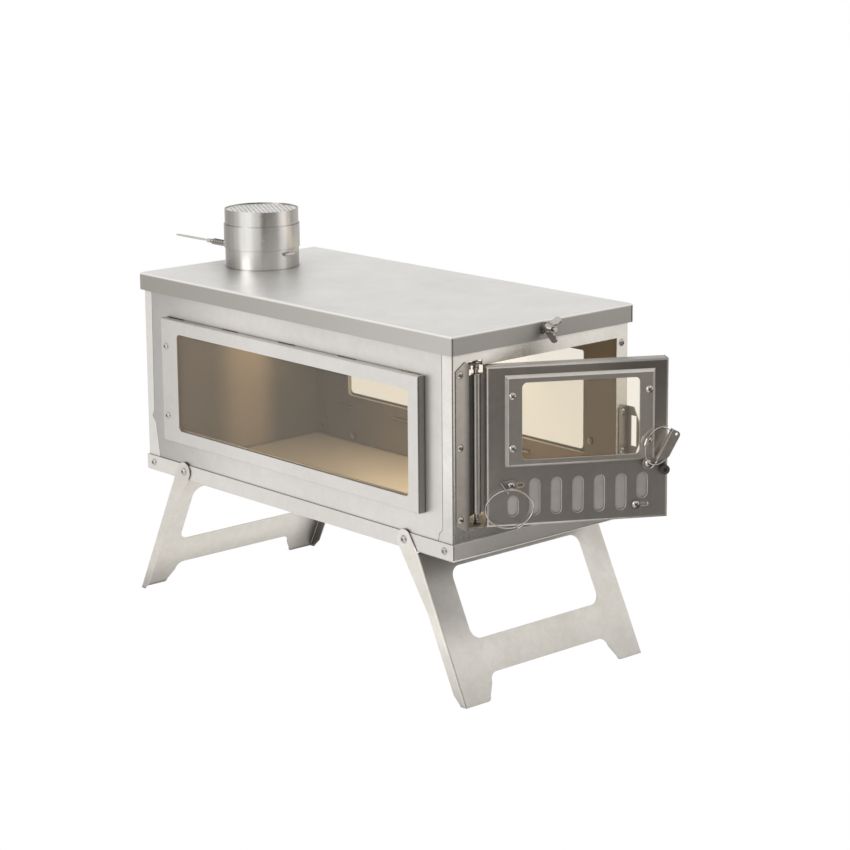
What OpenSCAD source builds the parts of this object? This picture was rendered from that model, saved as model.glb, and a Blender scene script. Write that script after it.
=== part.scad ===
// Folding tent wood stove: a flat-pack sheet metal firebox on two folding leg frames,
// with two long side windows, a glazed front door with an air slider and a drop latch,
// and a flue outlet with a butterfly damper and a spark mesh cap.
// The door end faces -Y, the flue stands at the +Y end, and the feet rest on z = 0.

/* [Sheet metal] */
// Thickness of every folded sheet
sheet = 1.0; // [0.8:0.1:1.2]
// Outside radius of the large folds on the lid, tray and legs
fold_r = 2.0; // [1.6:0.1:2.6]

/* [Firebox] */
// Width over the side panels
body_w = 207.6; // [196:0.2:224]
// Length over the end panels
body_l = 428; // [400:1:470]
// Height of the tray's underside above the ground
stand_h = 121.4; // [112:0.2:126]
// Height from the tray's underside to the lid's top face
case_h = 190.8; // [186:0.2:210]
// Height of the tray's upturned edge
tray_wall = 15; // [14:0.5:18]
// Room between the panels and the tray's edge
tray_gap = 0.1; // [0.05:0.05:0.3]
// Height of the lid's downturned edge
lid_wall = 16.6; // [15:0.2:18]
// Room between the panels and the lid's edge
lid_gap = 1.4; // [1.0:0.1:2.0]
// Width of the open seam at the corners of the lid and the tray
seam = 0.7; // [0.4:0.1:1.0]

/* [End panels] */
// Width of the returns that an end panel folds along the sides
return_w = 12; // [10:0.5:13]
// Gap between an end panel's return and the side panel
return_gap = 0.4; // [0.3:0.1:0.6]
// Width of the post between the door opening and the right corner
post_w = 14.4; // [13:0.2:18]
// Width of the post between the left corner and the door opening
left_post_w = 17.8; // [17:0.1:19]
// Height of the door opening's lower edge above the tray's underside
opening_base = 24; // [22:0.5:28]
// Distance from the lid's top face down to the door opening
opening_drop = 29; // [27:0.2:31]
// Depth of the lip folded in along the top of the opening
lip_d = 9; // [6:0.5:12]

/* [Side windows] */
// Length of the window frame
win_l = 359; // [330:1:380]
// Height of the window frame
win_h = 116.5; // [110:0.5:122]
// Height of the window frame's lower edge above the tray's underside
win_base = 36.4; // [34:0.2:42]
// How far the window frame stands off the panel
win_d = 7.8; // [7:0.1:9.5]
// Width of the frame around the glass on three sides
win_border = 12.4; // [10:0.2:14]
// Width of the frame at its screwed end
win_end = 25; // [23:0.5:30]
// How far the frame sits towards the door end
win_shift = 1.2; // [0:0.1:3]
// Thickness of the window glass
glass_t = 4; // [3:0.5:5]
// Distance between the tabs that hold the frame
tab_pitch = 82; // [70:1:84]
// Length of a tab
tab_l = 23.2; // [16:0.2:28]
// Radius of the corners of every glass opening
glass_r = 4; // [2:0.5:6]

/* [Door] */
// Angle at which the door stands open
door_open = 30.3; // [0:0.1:60]
// Distance from the opening's left edge to the hinge line
hinge_room = 11.7; // [11.4:0.1:12.5]
// Depth of the door pan
door_d = 12.6; // [11:0.2:14]
// Gap between the door pan and the opening
door_gap = 0.8; // [0.6:0.1:1.4]
// Distance from the hinge line to the door pan
hinge_off = 7.3; // [6.5:0.1:8.5]
// Radius of the hinge barrel
barrel_r = 3.8; // [3.4:0.1:4.2]
// Radius of the hinge pins
pin_r = 2; // [1.6:0.1:2.2]
// Radial clearance of every running fit
fit = 0.05; // [0.03:0.01:0.08]
// Distance from the door's hinged edge to the raised glass frame
bezel_s = 15.6; // [15:0.2:20]
// Distance from the raised glass frame to the door's free edge
bezel_end = 11.8; // [11:0.2:18]
// Distance from the raised glass frame to the door's top edge
bezel_top = 7.7; // [6:0.1:12]
// How far the glass frame stands off the door
bezel_d = 3; // [2.8:0.1:3.4]
// Width of the glass frame around the glass
bezel_border = 14; // [12:0.2:15]
// Thickness of the door glass
door_glass_t = 2; // [1.5:0.1:2.1]

/* [Air slider] */
// Distance from the door's hinged edge to the first slot's middle
slot_s = 22.4; // [22:0.1:24]
// Distance from the last slot's middle to the door's free edge
slot_end = 22.2; // [22:0.1:24]
// Width of an air slot
slot_w = 8.8; // [7:0.1:9]
// Height of an air slot
slot_h = 31; // [26:0.5:32]
// Diameter of the wire rings
wire_d = 1.1; // [0.8:0.1:1.2]

/* [Latch] */
// Length of the latch lever's arm
lever_l = 35; // [33:0.5:36]
// Width of the latch lever's arm
lever_w = 8; // [7:0.2:8.6]
// Angle of the open latch lever above the horizontal
lever_angle = 62; // [60:1:75]
// Radius of the rubber stop under the lever
stop_r = 4.1; // [3.6:0.1:4.4]

/* [Legs] */
// Splay of the legs from the vertical
splay = 26.2; // [20:0.2:30]
// Distance of the leg pivots from the middle
pivot_y = 155.5; // [145:0.5:165]
// Height of the leg pivots above the tray's underside
pivot_up = 8.4; // [7.5:0.1:9]
// Distance from the pivot to the leg's outer face
leg_off = 11; // [10.6:0.1:12]
// Width of a leg's side flange
leg_flange = 10; // [8:0.2:10]
// Radius of the ear round a leg pivot
ear_r = 8.8; // [7.5:0.1:8.8]
// Width of a foot
foot_w = 30; // [24:0.5:34]

/* [Flue] */
// Outside diameter of the flue outlet
flue_d = 70; // [60:1:80]
// Distance of the flue from the middle
flue_y = 165; // [150:1:170]
// Height of the flue stack above the lid
flue_h = 55.2; // [50:0.2:64]
// Height of the damper axle above the lid
damper_up = 14.3; // [13:0.1:15]
// Number of curls of the handle spring
curls = 11; // [6:1:14]
// Rise of the handle spring in one curl
curl_pitch = 3.6; // [3:0.1:4]
// Length of the wire loop of the damper handle
loop_l = 52; // [40:1:60]
// Distance between the holes of the spark mesh
mesh_pitch = 4.6; // [4.4:0.1:6]

/* [Screws] */
// Radius of a pan head
head_r = 3.3; // [2.8:0.1:3.6]
// Radius of a screw's shank
shank_r = 1.5; // [1.2:0.1:1.8]

/* [Hidden] */
eps = 0.01;
big = 600;

// Overall heights and outlines
lid_z = stand_h + case_h;
under_lid = lid_z - sheet;
floor_z = stand_h + sheet;
panel_z = floor_z + fold_r - sheet;
panel_h = under_lid - panel_z;
side_x = body_w / 2;
end_y = body_l / 2;
tray_w = body_w + 2 * (sheet + tray_gap);
tray_l = body_l + 2 * (sheet + tray_gap);
lid_w = body_w + 2 * (sheet + lid_gap);
lid_l = body_l + 2 * (sheet + lid_gap);
tray_top = stand_h + tray_wall;
tray_screw_z = stand_h + pivot_up;
tray_screw_y = end_y - 9.3;
hole_r = shank_r + 0.1;
head_h = 2;
nut_h = 2.2;
nut_r = 3;

// Door opening and hinge line
opening_left = side_x - left_post_w;
opening_right = side_x - post_w;
opening_z = stand_h + opening_base;
opening_top = lid_z - opening_drop;
opening_h = opening_top - opening_z;
hinge_x = hinge_room - opening_left;
door_w = opening_right - door_gap - hinge_off - hinge_x;
door_z = opening_z + door_gap;
door_h = opening_h - 2 * door_gap;
door_top = door_z + door_h;
door_front = 6;
hinge_in = 3;
hinge_y = -end_y + hinge_in;
door_proud = door_front - hinge_in;
ear_t = sheet;
top_ear_z = opening_top + 1.4;
low_ear_z = opening_z + head_h + 0.8;
ear_web = 3;
pin_room = 8.4;
pin_grip = 9;
barrel_z = low_ear_z + ear_t + pin_room;
barrel_top = top_ear_z - pin_room;
ear_end_r = hinge_in + ear_t;
notch_w = hinge_room + ear_end_r + 0.5;
notch_h = 5;
bracket_x = -opening_left + 0.3;
bracket_w = 14.3;
ramp_x = hinge_x - barrel_r - 0.5;
ramp_in = 2;
bracket_cut_w = 10.3;
bracket_cut_h = 6.7;
bracket_rise = 2.9;
bracket_low = low_ear_z - bracket_rise;
bracket_high = top_ear_z + ear_t + bracket_rise;

// Glass frame on the door, measured along the door from its hinged edge
bezel_z = door_z + 50.5;
bezel_w = door_w - bezel_s - bezel_end;
bezel_h = door_top - bezel_top - bezel_z;
bezel_rail = 6.4;
bezel_t = 0.8;
bezel_bevel = 2.4;
glass_lap_s = 4;
glass_lap_z = 3.4;
bezel_screw_inset = 5.8;
bezel_screw_drop = 16.6;
bezel_screw_gap = bezel_h - 2 * bezel_screw_drop - 0.6;

// Air slots and slider, measured along the door from its hinged edge
slot_count = 7;
slot_pitch = (door_w - slot_s - slot_end) / (slot_count - 1);
slot_z = door_z + 8.6;
slot_cut_top = 14;
slot_cut_low = 9.4;
slider_travel = slot_pitch / 2;
guide_r = 2.9;
guide_left = [20.8, slot_z + slot_h - 4.6];
guide_right = [slot_s + 5.7 * slot_pitch, slot_z + 4];
guide_clear = 0.1;
slider_gap = 0.6;
slider_s = 3.6;
slider_l = door_w - 20.6;
slider_under = 2.8;
slider_h = slot_h + 7.2;
washer_r = 4.8;
washer_t = 0.8;
tab_line_off = 6.4;
tab_turn = -55.7;
tab_high = 6.2;
wire_r = wire_d / 2;

// Latch, measured along the door from its hinged edge
pivot_s = door_w - 18.2;
pivot_z = bezel_z - 2.1;
lug_gap = 0.4;
lug_b = bezel_d + lug_gap;
arm_v = 3.7;
arm_depth = 5.4;
lug_r = 5;
lever_drop = 51.5;
stop_reach = 15.7;
lever_stop_angle = lever_angle - lever_drop;
stop_bearing = asin((arm_v + sheet + stop_r + 0.15) / stop_reach) - lever_stop_angle;
stop_s = pivot_s + stop_reach * cos(stop_bearing);
stop_z = pivot_z - stop_reach * sin(stop_bearing);
stop_h = lug_b + 1.4;

// Latch strike on the right post, its wing measured out from the panel
wing_x = side_x - 2.2;
strike_left = wing_x - 9.6;
strike_top = pivot_z + 27.4;
strike_low = pivot_z - 17;
latch_d = door_proud + lug_b;
window_in = latch_d - 0.7;
window_out = latch_d + arm_depth + 0.5;
window_low = pivot_z - 7.6;
window_top = pivot_z + 19.6;
wing_reach = window_out + 3.3;

// Lid stud, and the places of the front panel's screws as x and z
stud_r = 2;
stud_z = lid_z - 7.2;
bracket_hole_in = 9.9;
bracket_hole_low = 11;
bracket_hole_mid = 72;
bracket_hole_top = 4.7;
bracket_holes = [for (z = [opening_z + bracket_hole_low, opening_z + bracket_hole_mid,
    opening_top - bracket_hole_top]) [bracket_x - bracket_hole_in, z]];
strike_holes = [for (z = [strike_top - 5, strike_low + 5]) [wing_x - 5, z]];
post_hole = [side_x - 8.6, opening_top - 4.6];

// Side windows
win_glass_a = win_shift - win_l / 2 + 12.2;
win_glass_l = win_l - 15.4;
win_glass_z = stand_h + win_base + 3.4;
win_glass_h = win_h - 6.8;
win_z = stand_h + win_base;
win_top = win_z + win_h;
win_a = win_shift - win_l / 2;
win_hole_a = win_l / 2 - 16;
win_hole_z = win_z + 11.6;
win_hole_top = win_top - 11.6;
win_screw_a = win_a + 8;
win_screw_z = [win_z + 24.6, win_top - 25.9];
tab_room = 0.6;

// Legs
pivot_z0 = stand_h + pivot_up;
leg_gap = 0.3;
leg_w = tray_w + 2 * (leg_gap + sheet);
leg_top = (leg_off * sin(splay) + pivot_up + 0.2) / cos(splay);
leg_end = (pivot_z0 + leg_off * sin(splay)) / cos(splay);
leg_shoulder = 66;
leg_hole_top = leg_top + 18.5;
leg_hole_h = 63.8;
leg_hole_r = 10;
bar_h = 30.4;
gap_top_half = 70;
gap_r = 8;
foot_r = 4;

// Flue stack
flue_r = flue_d / 2;
flue_wall = 1;
sleeve_wall = 0.9;
damper_z = lid_z + damper_up;
collar_top = lid_z + 30.4;
bead_h = 0.8;
sleeve_z = lid_z + 18.8;
sleeve_top = lid_z + 40.9;
cap_z = collar_top + bead_h;
cap_top = lid_z + flue_h;
mesh_t = 0.8;
mesh_hole_r = 1.35;
axle_r = 1.5;
axle_bore = axle_r + fit;
plate_r = flue_r - flue_wall - 2;
plate_drop = axle_r + 0.02;
spring_wire = 0.65;
spring_r = axle_r + spring_wire + 0.5;
spring_y = flue_y + flue_r + 1.6;
spring_l = curls * curl_pitch;
ferrule_y = spring_y + spring_l + 3.4;
ferrule_l = 6;
ferrule_r = 2;
loop_wire = 0.6;
loop_half = 2.3;

// Damper details
front_bend_y = flue_y - flue_r - sleeve_wall - axle_r - 0.4;
bend_l = 7.6;
plate_t = 1;

// Rings: half length, half height, end radius, and where each hangs
ring_a = 20.5;
ring_bh = 16.5;
ring_end = 12;
ring_off = 3.1;
ring_b = 3.6;
ring_hole = [-0.76, -6];
ring_hole_r = 1.3;
ring_drop = sqrt(pow(ring_bh + oval_c(ring_a, ring_bh, ring_end), 2) - ring_off * ring_off)
    - oval_c(ring_a, ring_bh, ring_end);
loop_a = 16.4;
loop_b = 11.8;
loop_end = 9;
latch_hole_u = 32;
latch_hole_b = 2;
latch_phi = 36;
latch_tilt = 67;
latch_lean = 5;
latch_axis = latch_tilt - latch_phi - 90;

// ---- shared shapes ----

// Rectangle with round corners, from one corner to the other
module round_rect(x0, y0, x1, y1, r) {
    translate([x0 + r, y0]) square([x1 - x0 - 2 * r, y1 - y0]);
    translate([x0, y0 + r]) square([x1 - x0, y1 - y0 - 2 * r]);
    for (x = [x0 + r, x1 - r], y = [y0 + r, y1 - r])
        translate([x, y]) circle(r = r, $fn = 48);
}

// Slot with round ends between two points on a level or upright line
module obround(p, q, r) {
    for (c = [p, q]) translate(c) circle(r = r, $fn = 48);
    if (p[0] == q[0]) translate([p[0] - r, p[1]]) square([2 * r, q[1] - p[1]]);
    else translate([p[0], p[1] - r]) square([q[0] - p[0], 2 * r]);
}

// Section of a folded channel: a web of width w at y = 0 and two walls up to y = h
module fold_section(w, h, r) {
    translate([-w / 2, r]) square([w, h - r]);
    translate([-w / 2 + r, 0]) square([w - 2 * r, r + eps]);
    for (x = [-1, 1]) translate([x * (w / 2 - r), r]) circle(r = r, $fn = 48);
}

// Solid block with its four lower edges rounded, w by l by h
module fold_block(w, l, h, r) {
    intersection() {
        translate([0, l / 2, 0]) rotate([90, 0, 0]) linear_extrude(l) fold_section(w, h, r);
        translate([-w / 2, 0, 0]) rotate([90, 0, 90]) linear_extrude(w) fold_section(l, h, r);
    }
}

// Open pan folded from sheet, with an open seam at each corner
module folded_pan(w, l, h, r) {
    difference() {
        fold_block(w, l, h, r);
        translate([0, 0, sheet])
            fold_block(w - 2 * sheet, l - 2 * sheet, h, r - sheet);
        for (x = [-1, 1], y = [-1, 1])
            translate([x * (w / 2 - sheet - seam / 2), y * (l / 2 - sheet / 2), h / 2 + r])
                cube([seam, sheet + 2 * eps, h], center = true);
    }
}

// Pan head screw: head above z = 0 and shank below, with a cross recess
module pan_screw(r, h, shank, length) {
    dome = (r * r + h * h) / (2 * h);
    difference() {
        union() {
            intersection() {
                translate([0, 0, h - dome]) sphere(r = dome, $fn = 48);
                cylinder(r = r + 1, h = h + 1, $fn = 48);
            }
            translate([0, 0, -length]) cylinder(r = shank, h = length + eps, $fn = 32);
        }
        for (a = [45, 135])
            rotate([0, 0, a]) translate([0, 0, h]) cube([r * 1.15, 0.8, 1.7], center = true);
    }
}

// Screw through a stack of sheets with its nut behind
module bolt(r, shank, stack, nut) {
    pan_screw(r, head_h, shank, stack + nut_h + 0.8);
    translate([0, 0, -stack]) hex_nut(nut, nut_h, shank + 0.05);
}

// Hexagon nut from z = 0 down
module hex_nut(r, h, bore) {
    difference() {
        translate([0, 0, -h]) cylinder(r = r, h = h, $fn = 6);
        translate([0, 0, -h - eps]) cylinder(r = bore, h = h + 2 * eps, $fn = 32);
    }
}

// Local frames: x along the face, y up, z outwards
module on_front() { translate([0, -end_y, 0]) rotate([90, 0, 0]) children(); }
module on_left(off = 0) { translate([-side_x - off, 0, 0]) rotate([90, 0, -90]) children(); }
module on_door() { translate([hinge_x, hinge_y, 0]) rotate([0, 0, -door_open]) children(); }
module on_face() { on_door() translate([hinge_off, -door_front, 0]) rotate([90, 0, 0]) children(); }

// Tube swept along a list of points, its rings square to the path
function unit(v) = v / norm(v);
function tangent(p, i) = let (n = len(p) - 1)
    unit(p[min(i + 1, n)] - p[max(i - 1, 0)]);
module swept_tube(p, out, r, sides) {
    n = len(p);
    rings = [for (i = [0:n - 1]) let (t = tangent(p, i), u = unit(out[i] - (out[i] * t) * t),
        v = cross(u, t))
        for (k = [0:sides - 1]) p[i] + r * (cos(360 * k / sides) * u + sin(360 * k / sides) * v)];
    walls = [for (i = [0:n - 2], k = [0:sides - 1]) let (
        a = i * sides + k,
        b = i * sides + (k + 1) % sides)
        each [[a, b, a + sides], [b, b + sides, a + sides]]];
    last = (n - 1) * sides;
    ends = [[for (k = [sides - 1:-1:0]) k], [for (k = [0:sides - 1]) last + k]];
    polyhedron(rings, concat(walls, ends));
}

// Oval wire loop of half length a and half height b from four arcs, in the x-y plane
function oval_c(a, b, r) = ((a - r) * (a - r) - (b - r) * (b - r)) / (2 * (b - r));
function oval_angle(a, b, r) = atan2(oval_c(a, b, r), a - r);
module ring_arc(radius, from, sweep, inner, outer) {
    rotate([0, 0, from]) rotate_extrude(angle = sweep, $fn = 96) translate([radius, 0])
        difference() {
            circle(r = outer, $fn = 24);
            if (inner > 0) circle(r = inner, $fn = 24);
        }
}
// Centre line of an oval, 64 points a turn, and the closed tube swept along it
function oval_point(a, b, r, t) = let (c = oval_c(a, b, r), e = oval_angle(a, b, r))
    abs(cos(t)) > cos(e) ? [sign(cos(t)) * (a - r) + r * cos(t), r * sin(t), 0] :
    [(b + c) * cos(t), (b + c) * sin(t) - sign(sin(t)) * c, 0];
module oval_loop(a, b, r, wire) {
    n = 64;
    p = [for (i = [0:n - 1]) oval_point(a, b, r, 360 * i / n)];
    rings = [for (i = [0:n - 1]) each let (
        t = unit(p[(i + 1) % n] - p[(i + n - 1) % n]),
        out = [t[1], -t[0], 0])
        [for (k = [0:7]) p[i] + wire * (cos(45 * k) * out + sin(45 * k) * [0, 0, 1])]];
    polyhedron(rings, [for (i = [0:n - 1], k = [0:7]) each let (
        a0 = i * 8, a1 = (i + 1) % n * 8, k1 = (k + 1) % 8)
        [[a0 + k, a0 + k1, a1 + k], [a1 + k, a0 + k1, a1 + k1]]]);
}
// Crimped sleeve on the long lower arc of an oval loop
module oval_clasp(a, b, r, wire, at, sweep) {
    c = oval_c(a, b, r);
    translate([0, c, 0]) ring_arc(b + c, at - sweep / 2, sweep, wire + 0.05, wire + 1.15);
}

// ---- firebox ----

module base_tray() {
    color("#C9C4BC") difference() {
        translate([0, 0, stand_h]) folded_pan(tray_w, tray_l, tray_wall, fold_r);
        for (y = [-tray_screw_y, tray_screw_y])
            translate([0, y, tray_screw_z]) rotate([0, 90, 0])
                cylinder(r = hole_r, h = big, center = true, $fn = 32);
        for (y = [-pivot_y, pivot_y])
            translate([0, y, pivot_z0]) rotate([0, 90, 0])
                cylinder(r = pin_r + fit, h = big, center = true, $fn = 32);
    }
}

// Outline of the front panel's return: straight, with a slanted foot
front_return = [[0, panel_z], [return_w + 6, panel_z], [return_w + 5.4, tray_top],
    [return_w + 4, tray_top + 7], [return_w, tray_top + 10.6], [return_w, under_lid],
    [0, under_lid]];
// Outline of the rear panel's return: a hook notch above a slanted foot
hook_z = tray_top + 38.6;
rear_return = [[0, panel_z], [return_w + 7, panel_z], [return_w + 6.4, tray_top],
    [return_w + 1, hook_z - 6.6], [return_w - 4.4, hook_z], [return_w - 1.4, hook_z + 6],
    [return_w, under_lid - 30], [return_w, under_lid], [0, under_lid]];

// End panel with returns folded along both sides, its outer face at y = 0
module end_panel(outline) {
    intersection() {
        translate([0, 0, panel_z]) linear_extrude(panel_h) difference() {
            fold_section(body_w, return_w + 8, fold_r);
            translate([0, sheet]) fold_section(body_w - 2 * sheet, big, fold_r - sheet);
        }
        translate([-side_x, 0, 0]) rotate([90, 0, 90]) linear_extrude(body_w) polygon(outline);
    }
}

module front_panel() {
    color("#B5AFA6") {
        difference() {
            translate([0, -end_y, 0]) end_panel(front_return);
            // door opening with its hinge notch
            on_front() translate([0, 0, -sheet - eps]) linear_extrude(sheet + 2 * eps) {
                translate([-opening_left, opening_z])
                    square([opening_left + opening_right, opening_h]);
                translate([-opening_left, opening_top - eps]) square([notch_w, notch_h]);
            }
            // notch for the lid's stud, open at the top
            on_front() translate([0, 0, -sheet - eps]) linear_extrude(sheet + 2 * eps)
                obround([0, stud_z], [0, under_lid + 5], stud_r + 0.3);
            // screw holes
            for (p = concat(bracket_holes, strike_holes, [post_hole]))
                on_front() translate([p[0], p[1], -sheet - eps])
                    cylinder(r = hole_r, h = sheet + 2 * eps, $fn = 32);
            for (x = [-1, 1]) translate([x * side_x, -tray_screw_y, tray_screw_z])
                rotate([0, 90, 0]) cylinder(r = hole_r, h = 4 * sheet, center = true, $fn = 32);
        }
        // lip folded in over the door
        translate([-opening_left + notch_w, -end_y + sheet - eps, opening_top])
            cube([opening_left - notch_w + opening_right, lip_d - sheet, sheet]);
    }
}

module rear_panel() {
    color("#B5AFA6") difference() {
        rotate([0, 0, 180]) translate([0, -end_y, 0]) end_panel(rear_return);
        for (x = [-1, 1]) translate([x * side_x, tray_screw_y, tray_screw_z])
            rotate([0, 90, 0]) cylinder(r = hole_r, h = 4 * sheet, center = true, $fn = 32);
    }
}

// Side panel outline between the two returns, seen from the left with the door on the right
module side_outline() {
    front = [for (p = front_return) if (p[0] > 0) [end_y - p[0] - return_gap, p[1]]];
    rear = [for (p = rear_return) if (p[0] > 0) [-end_y + p[0] + return_gap, p[1]]];
    polygon(concat(front, [for (i = [len(rear) - 1:-1:0]) rear[i]]));
}

// Side panel with its window hole, tab slots and holes, seen from outside
module side_panel(screw_a) {
    on_left(-sheet) linear_extrude(sheet) difference() {
        side_outline();
        round_rect(-win_hole_a, win_hole_z, win_hole_a, win_hole_top, glass_r);
        for (i = [-2:2], z = [win_z - tab_room, win_top - sheet - 0.1])
            translate([i * tab_pitch - tab_l / 2 - 0.3, z])
                square([tab_l + 0.6, sheet + tab_room + 0.1]);
        for (z = win_screw_z) translate([screw_a, z]) circle(r = hole_r, $fn = 32);
        for (a = [-pivot_y, pivot_y]) translate([a, pivot_z0]) circle(r = pin_r + 0.2, $fn = 32);
    }
}
module left_side_panel() {
    color("#CFCAC4") side_panel(win_screw_a);
}
module right_side_panel() {
    color("#CFCAC4") mirror([1, 0, 0]) side_panel(-win_screw_a);
}

// ---- side windows; the right one is the left one turned half round ----

// Box frame with the glass opening, screw holes and five tabs along each long edge
module window_frame() {
    color("#D2CDC6") on_left() {
        difference() {
            translate([win_shift, win_z + win_h / 2, win_d]) rotate([180, 0, 0])
                folded_pan(win_l, win_h, win_d, 1.6);
            translate([0, 0, win_d - sheet - eps]) linear_extrude(sheet + 2 * eps)
                round_rect(win_a + win_end, win_z + win_border, win_a + win_l - win_border,
                    win_top - win_border, glass_r);
            for (z = win_screw_z) translate([win_screw_a, z, win_d - sheet - eps])
                cylinder(r = hole_r, h = sheet + 2 * eps, $fn = 32);
        }
        for (i = [-2:2], z = [win_z, win_top - sheet])
            translate([i * tab_pitch - tab_l / 2, z, -sheet - 2.6]) cube([tab_l, sheet, sheet + 4]);
    }
}
module window_glass() {
    color("#E5D8C5", 0.35) on_left() translate([0, 0, win_d - sheet - glass_t])
        linear_extrude(glass_t) translate([win_glass_a, win_glass_z])
            square([win_glass_l, win_glass_h]);
}
module window_gasket() {
    color("#8B8578") on_left() linear_extrude(win_d - sheet - glass_t) difference() {
        translate([win_glass_a, win_glass_z]) square([win_glass_l, win_glass_h]);
        round_rect(-win_hole_a, win_hole_z, win_hole_a, win_hole_top, glass_r);
    }
}
module left_window_frame() { window_frame(); }
module left_window_glass() { window_glass(); }
module left_window_gasket() { window_gasket(); }
module right_window_frame() { rotate([0, 0, 180]) window_frame(); }
module right_window_glass() { rotate([0, 0, 180]) window_glass(); }
module right_window_gasket() { rotate([0, 0, 180]) window_gasket(); }
module window_screws() {
    color("#C9C6C1") for (turn = [0, 180], z = win_screw_z)
        rotate([0, 0, turn]) on_left() translate([win_screw_a, z, win_d])
            bolt(head_r, shank_r, win_d + sheet, nut_r);
}

// ---- screws in the tray ----

// Local frame on the outside of the tray's wall, z outwards
module at_side(s, y, z, out) { translate([s * out, y, z]) rotate([0, s * 90, 0]) children(); }
module tray_screws() {
    color("#C9C6C1") for (s = [-1, 1], y = [-tray_screw_y, tray_screw_y])
        at_side(s, y, tray_screw_z, tray_w / 2)
            bolt(head_r, shank_r, 2 * sheet + tray_gap, nut_r);
}
module leg_pivot_screws() {
    color("#C9C6C1") for (s = [-1, 1], y = [-pivot_y, pivot_y])
        at_side(s, y, pivot_z0, leg_w / 2 + 0.1)
            bolt(head_r + 0.3, pin_r, 3 * sheet + tray_gap + leg_gap + 0.1, nut_r + 0.6);
}

// ---- hinge, post screw and strike on the front panel ----

// Ear reaching from the bracket's edge to the hinge line, with its pin hole
module hinge_ear(z, rise) {
    translate([0, 0, z]) difference() {
        union() {
            translate([hinge_x, hinge_y, 0]) cylinder(r = ear_end_r, h = ear_t, $fn = 48);
            translate([bracket_x, hinge_y - ear_end_r, 0])
                cube([hinge_x - bracket_x, 2 * ear_end_r, ear_t]);
            translate([bracket_x - 1, hinge_y - ear_end_r, rise])
                cube([3, sheet, ear_web + ear_t]);
        }
        translate([hinge_x, hinge_y, -eps]) cylinder(r = pin_r + fit, h = ear_t + 2 * eps, $fn = 48);
    }
}
module hinge_bracket() {
    color("#C4BFB8") {
        on_front() difference() {
            linear_extrude(sheet) polygon([[bracket_x, low_ear_z], [bracket_x, top_ear_z + ear_t],
                [bracket_x - bracket_w + bracket_cut_w, bracket_high],
                [bracket_x - bracket_w, bracket_high - bracket_cut_h],
                [bracket_x - bracket_w, bracket_low + bracket_cut_h],
                [bracket_x - bracket_w + bracket_cut_w, bracket_low]]);
            for (p = bracket_holes) translate([p[0], p[1], -eps])
                cylinder(r = hole_r, h = sheet + 2 * eps, $fn = 32);
        }
        // skirt slanting inwards beside the barrel
        translate([0, -end_y, barrel_z]) linear_extrude(barrel_top - barrel_z)
            polygon([[bracket_x - 1, -sheet], [bracket_x, -sheet], [ramp_x, ramp_in],
                [ramp_x - 0.3, ramp_in + sheet], [bracket_x, 0], [bracket_x - 1, 0]]);
        hinge_ear(low_ear_z, 0);
        hinge_ear(top_ear_z, -ear_web);
    }
}
module hinge_bracket_screws() {
    color("#C9C6C1") for (p = bracket_holes) on_front() translate([p[0], p[1], sheet])
        bolt(head_r, shank_r, 2 * sheet, nut_r);
}
// Screws through the ears into the barrel, each with two thin nuts against its ear
module hinge_pins() {
    color("#B9B4AC") translate([hinge_x, hinge_y, 0]) {
        translate([0, 0, top_ear_z + ear_t]) hinge_pin();
        translate([0, 0, low_ear_z]) mirror([0, 0, 1]) hinge_pin();
    }
}
module hinge_pin() {
    pan_screw(head_r, head_h, pin_r, ear_t + pin_room + pin_grip);
    for (z = [0, nut_h + 0.6])
        translate([0, 0, -ear_t - z]) hex_nut(hinge_in - 0.2, nut_h, pin_r + 0.05);
}
module front_post_screw() {
    color("#C9C6C1") on_front() translate([post_hole[0], post_hole[1], 0])
        bolt(head_r, shank_r, sheet, nut_r);
}
// Angle bracket: a base on the post and a wing with a window for the lever's tip
module latch_strike() {
    color("#C4BFB8") {
        on_front() difference() {
            linear_extrude(sheet) union() {
                round_rect(strike_left, strike_low, wing_x + sheet, strike_top, 3);
                translate([wing_x - 2, strike_low]) square([2 + sheet, strike_top - strike_low]);
            }
            for (p = strike_holes) translate([p[0], p[1], -eps])
                cylinder(r = hole_r, h = sheet + 2 * eps, $fn = 32);
        }
        translate([wing_x, -end_y, 0]) rotate([90, 0, 90]) linear_extrude(sheet) difference() {
            polygon([[0, strike_low], [0, strike_top], [-wing_reach + 6.6, strike_top],
                [-wing_reach, strike_top - 13], [-wing_reach, window_low + 4],
                [-wing_reach + 6, strike_low], [-sheet, strike_low]]);
            translate([-window_out, window_low])
                square([window_out - window_in, window_top - window_low]);
        }
    }
}
module latch_strike_screws() {
    color("#C9C6C1") for (p = strike_holes) on_front() translate([p[0], p[1], sheet])
        bolt(head_r, shank_r, 2 * sheet, nut_r);
}

// ---- lid with the flue collar and the wing nut ----

module lid() {
    color("#D6D4D0") difference() {
        translate([0, 0, lid_z]) rotate([180, 0, 0]) folded_pan(lid_w, lid_l, lid_wall, fold_r);
        translate([0, flue_y, lid_z - 2 * sheet])
            cylinder(r = flue_r - flue_wall, h = 3 * sheet, $fn = 96);
        translate([0, -lid_l / 2, stud_z]) rotate([90, 0, 0])
            cylinder(r = stud_r + 0.1, h = 4 * sheet, center = true, $fn = 48);
    }
}
// Standing collar with bearings for the damper axle at its front and back
module flue_collar() {
    color("#CFCDC9") difference() {
        translate([0, flue_y, lid_z]) cylinder(r = flue_r, h = collar_top - lid_z, $fn = 96);
        translate([0, flue_y, lid_z - eps])
            cylinder(r = flue_r - flue_wall, h = collar_top - lid_z + 2 * eps, $fn = 96);
        translate([0, flue_y, damper_z]) rotate([90, 0, 0])
            cylinder(r = axle_bore, h = 3 * flue_r, center = true, $fn = 48);
    }
}
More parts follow.
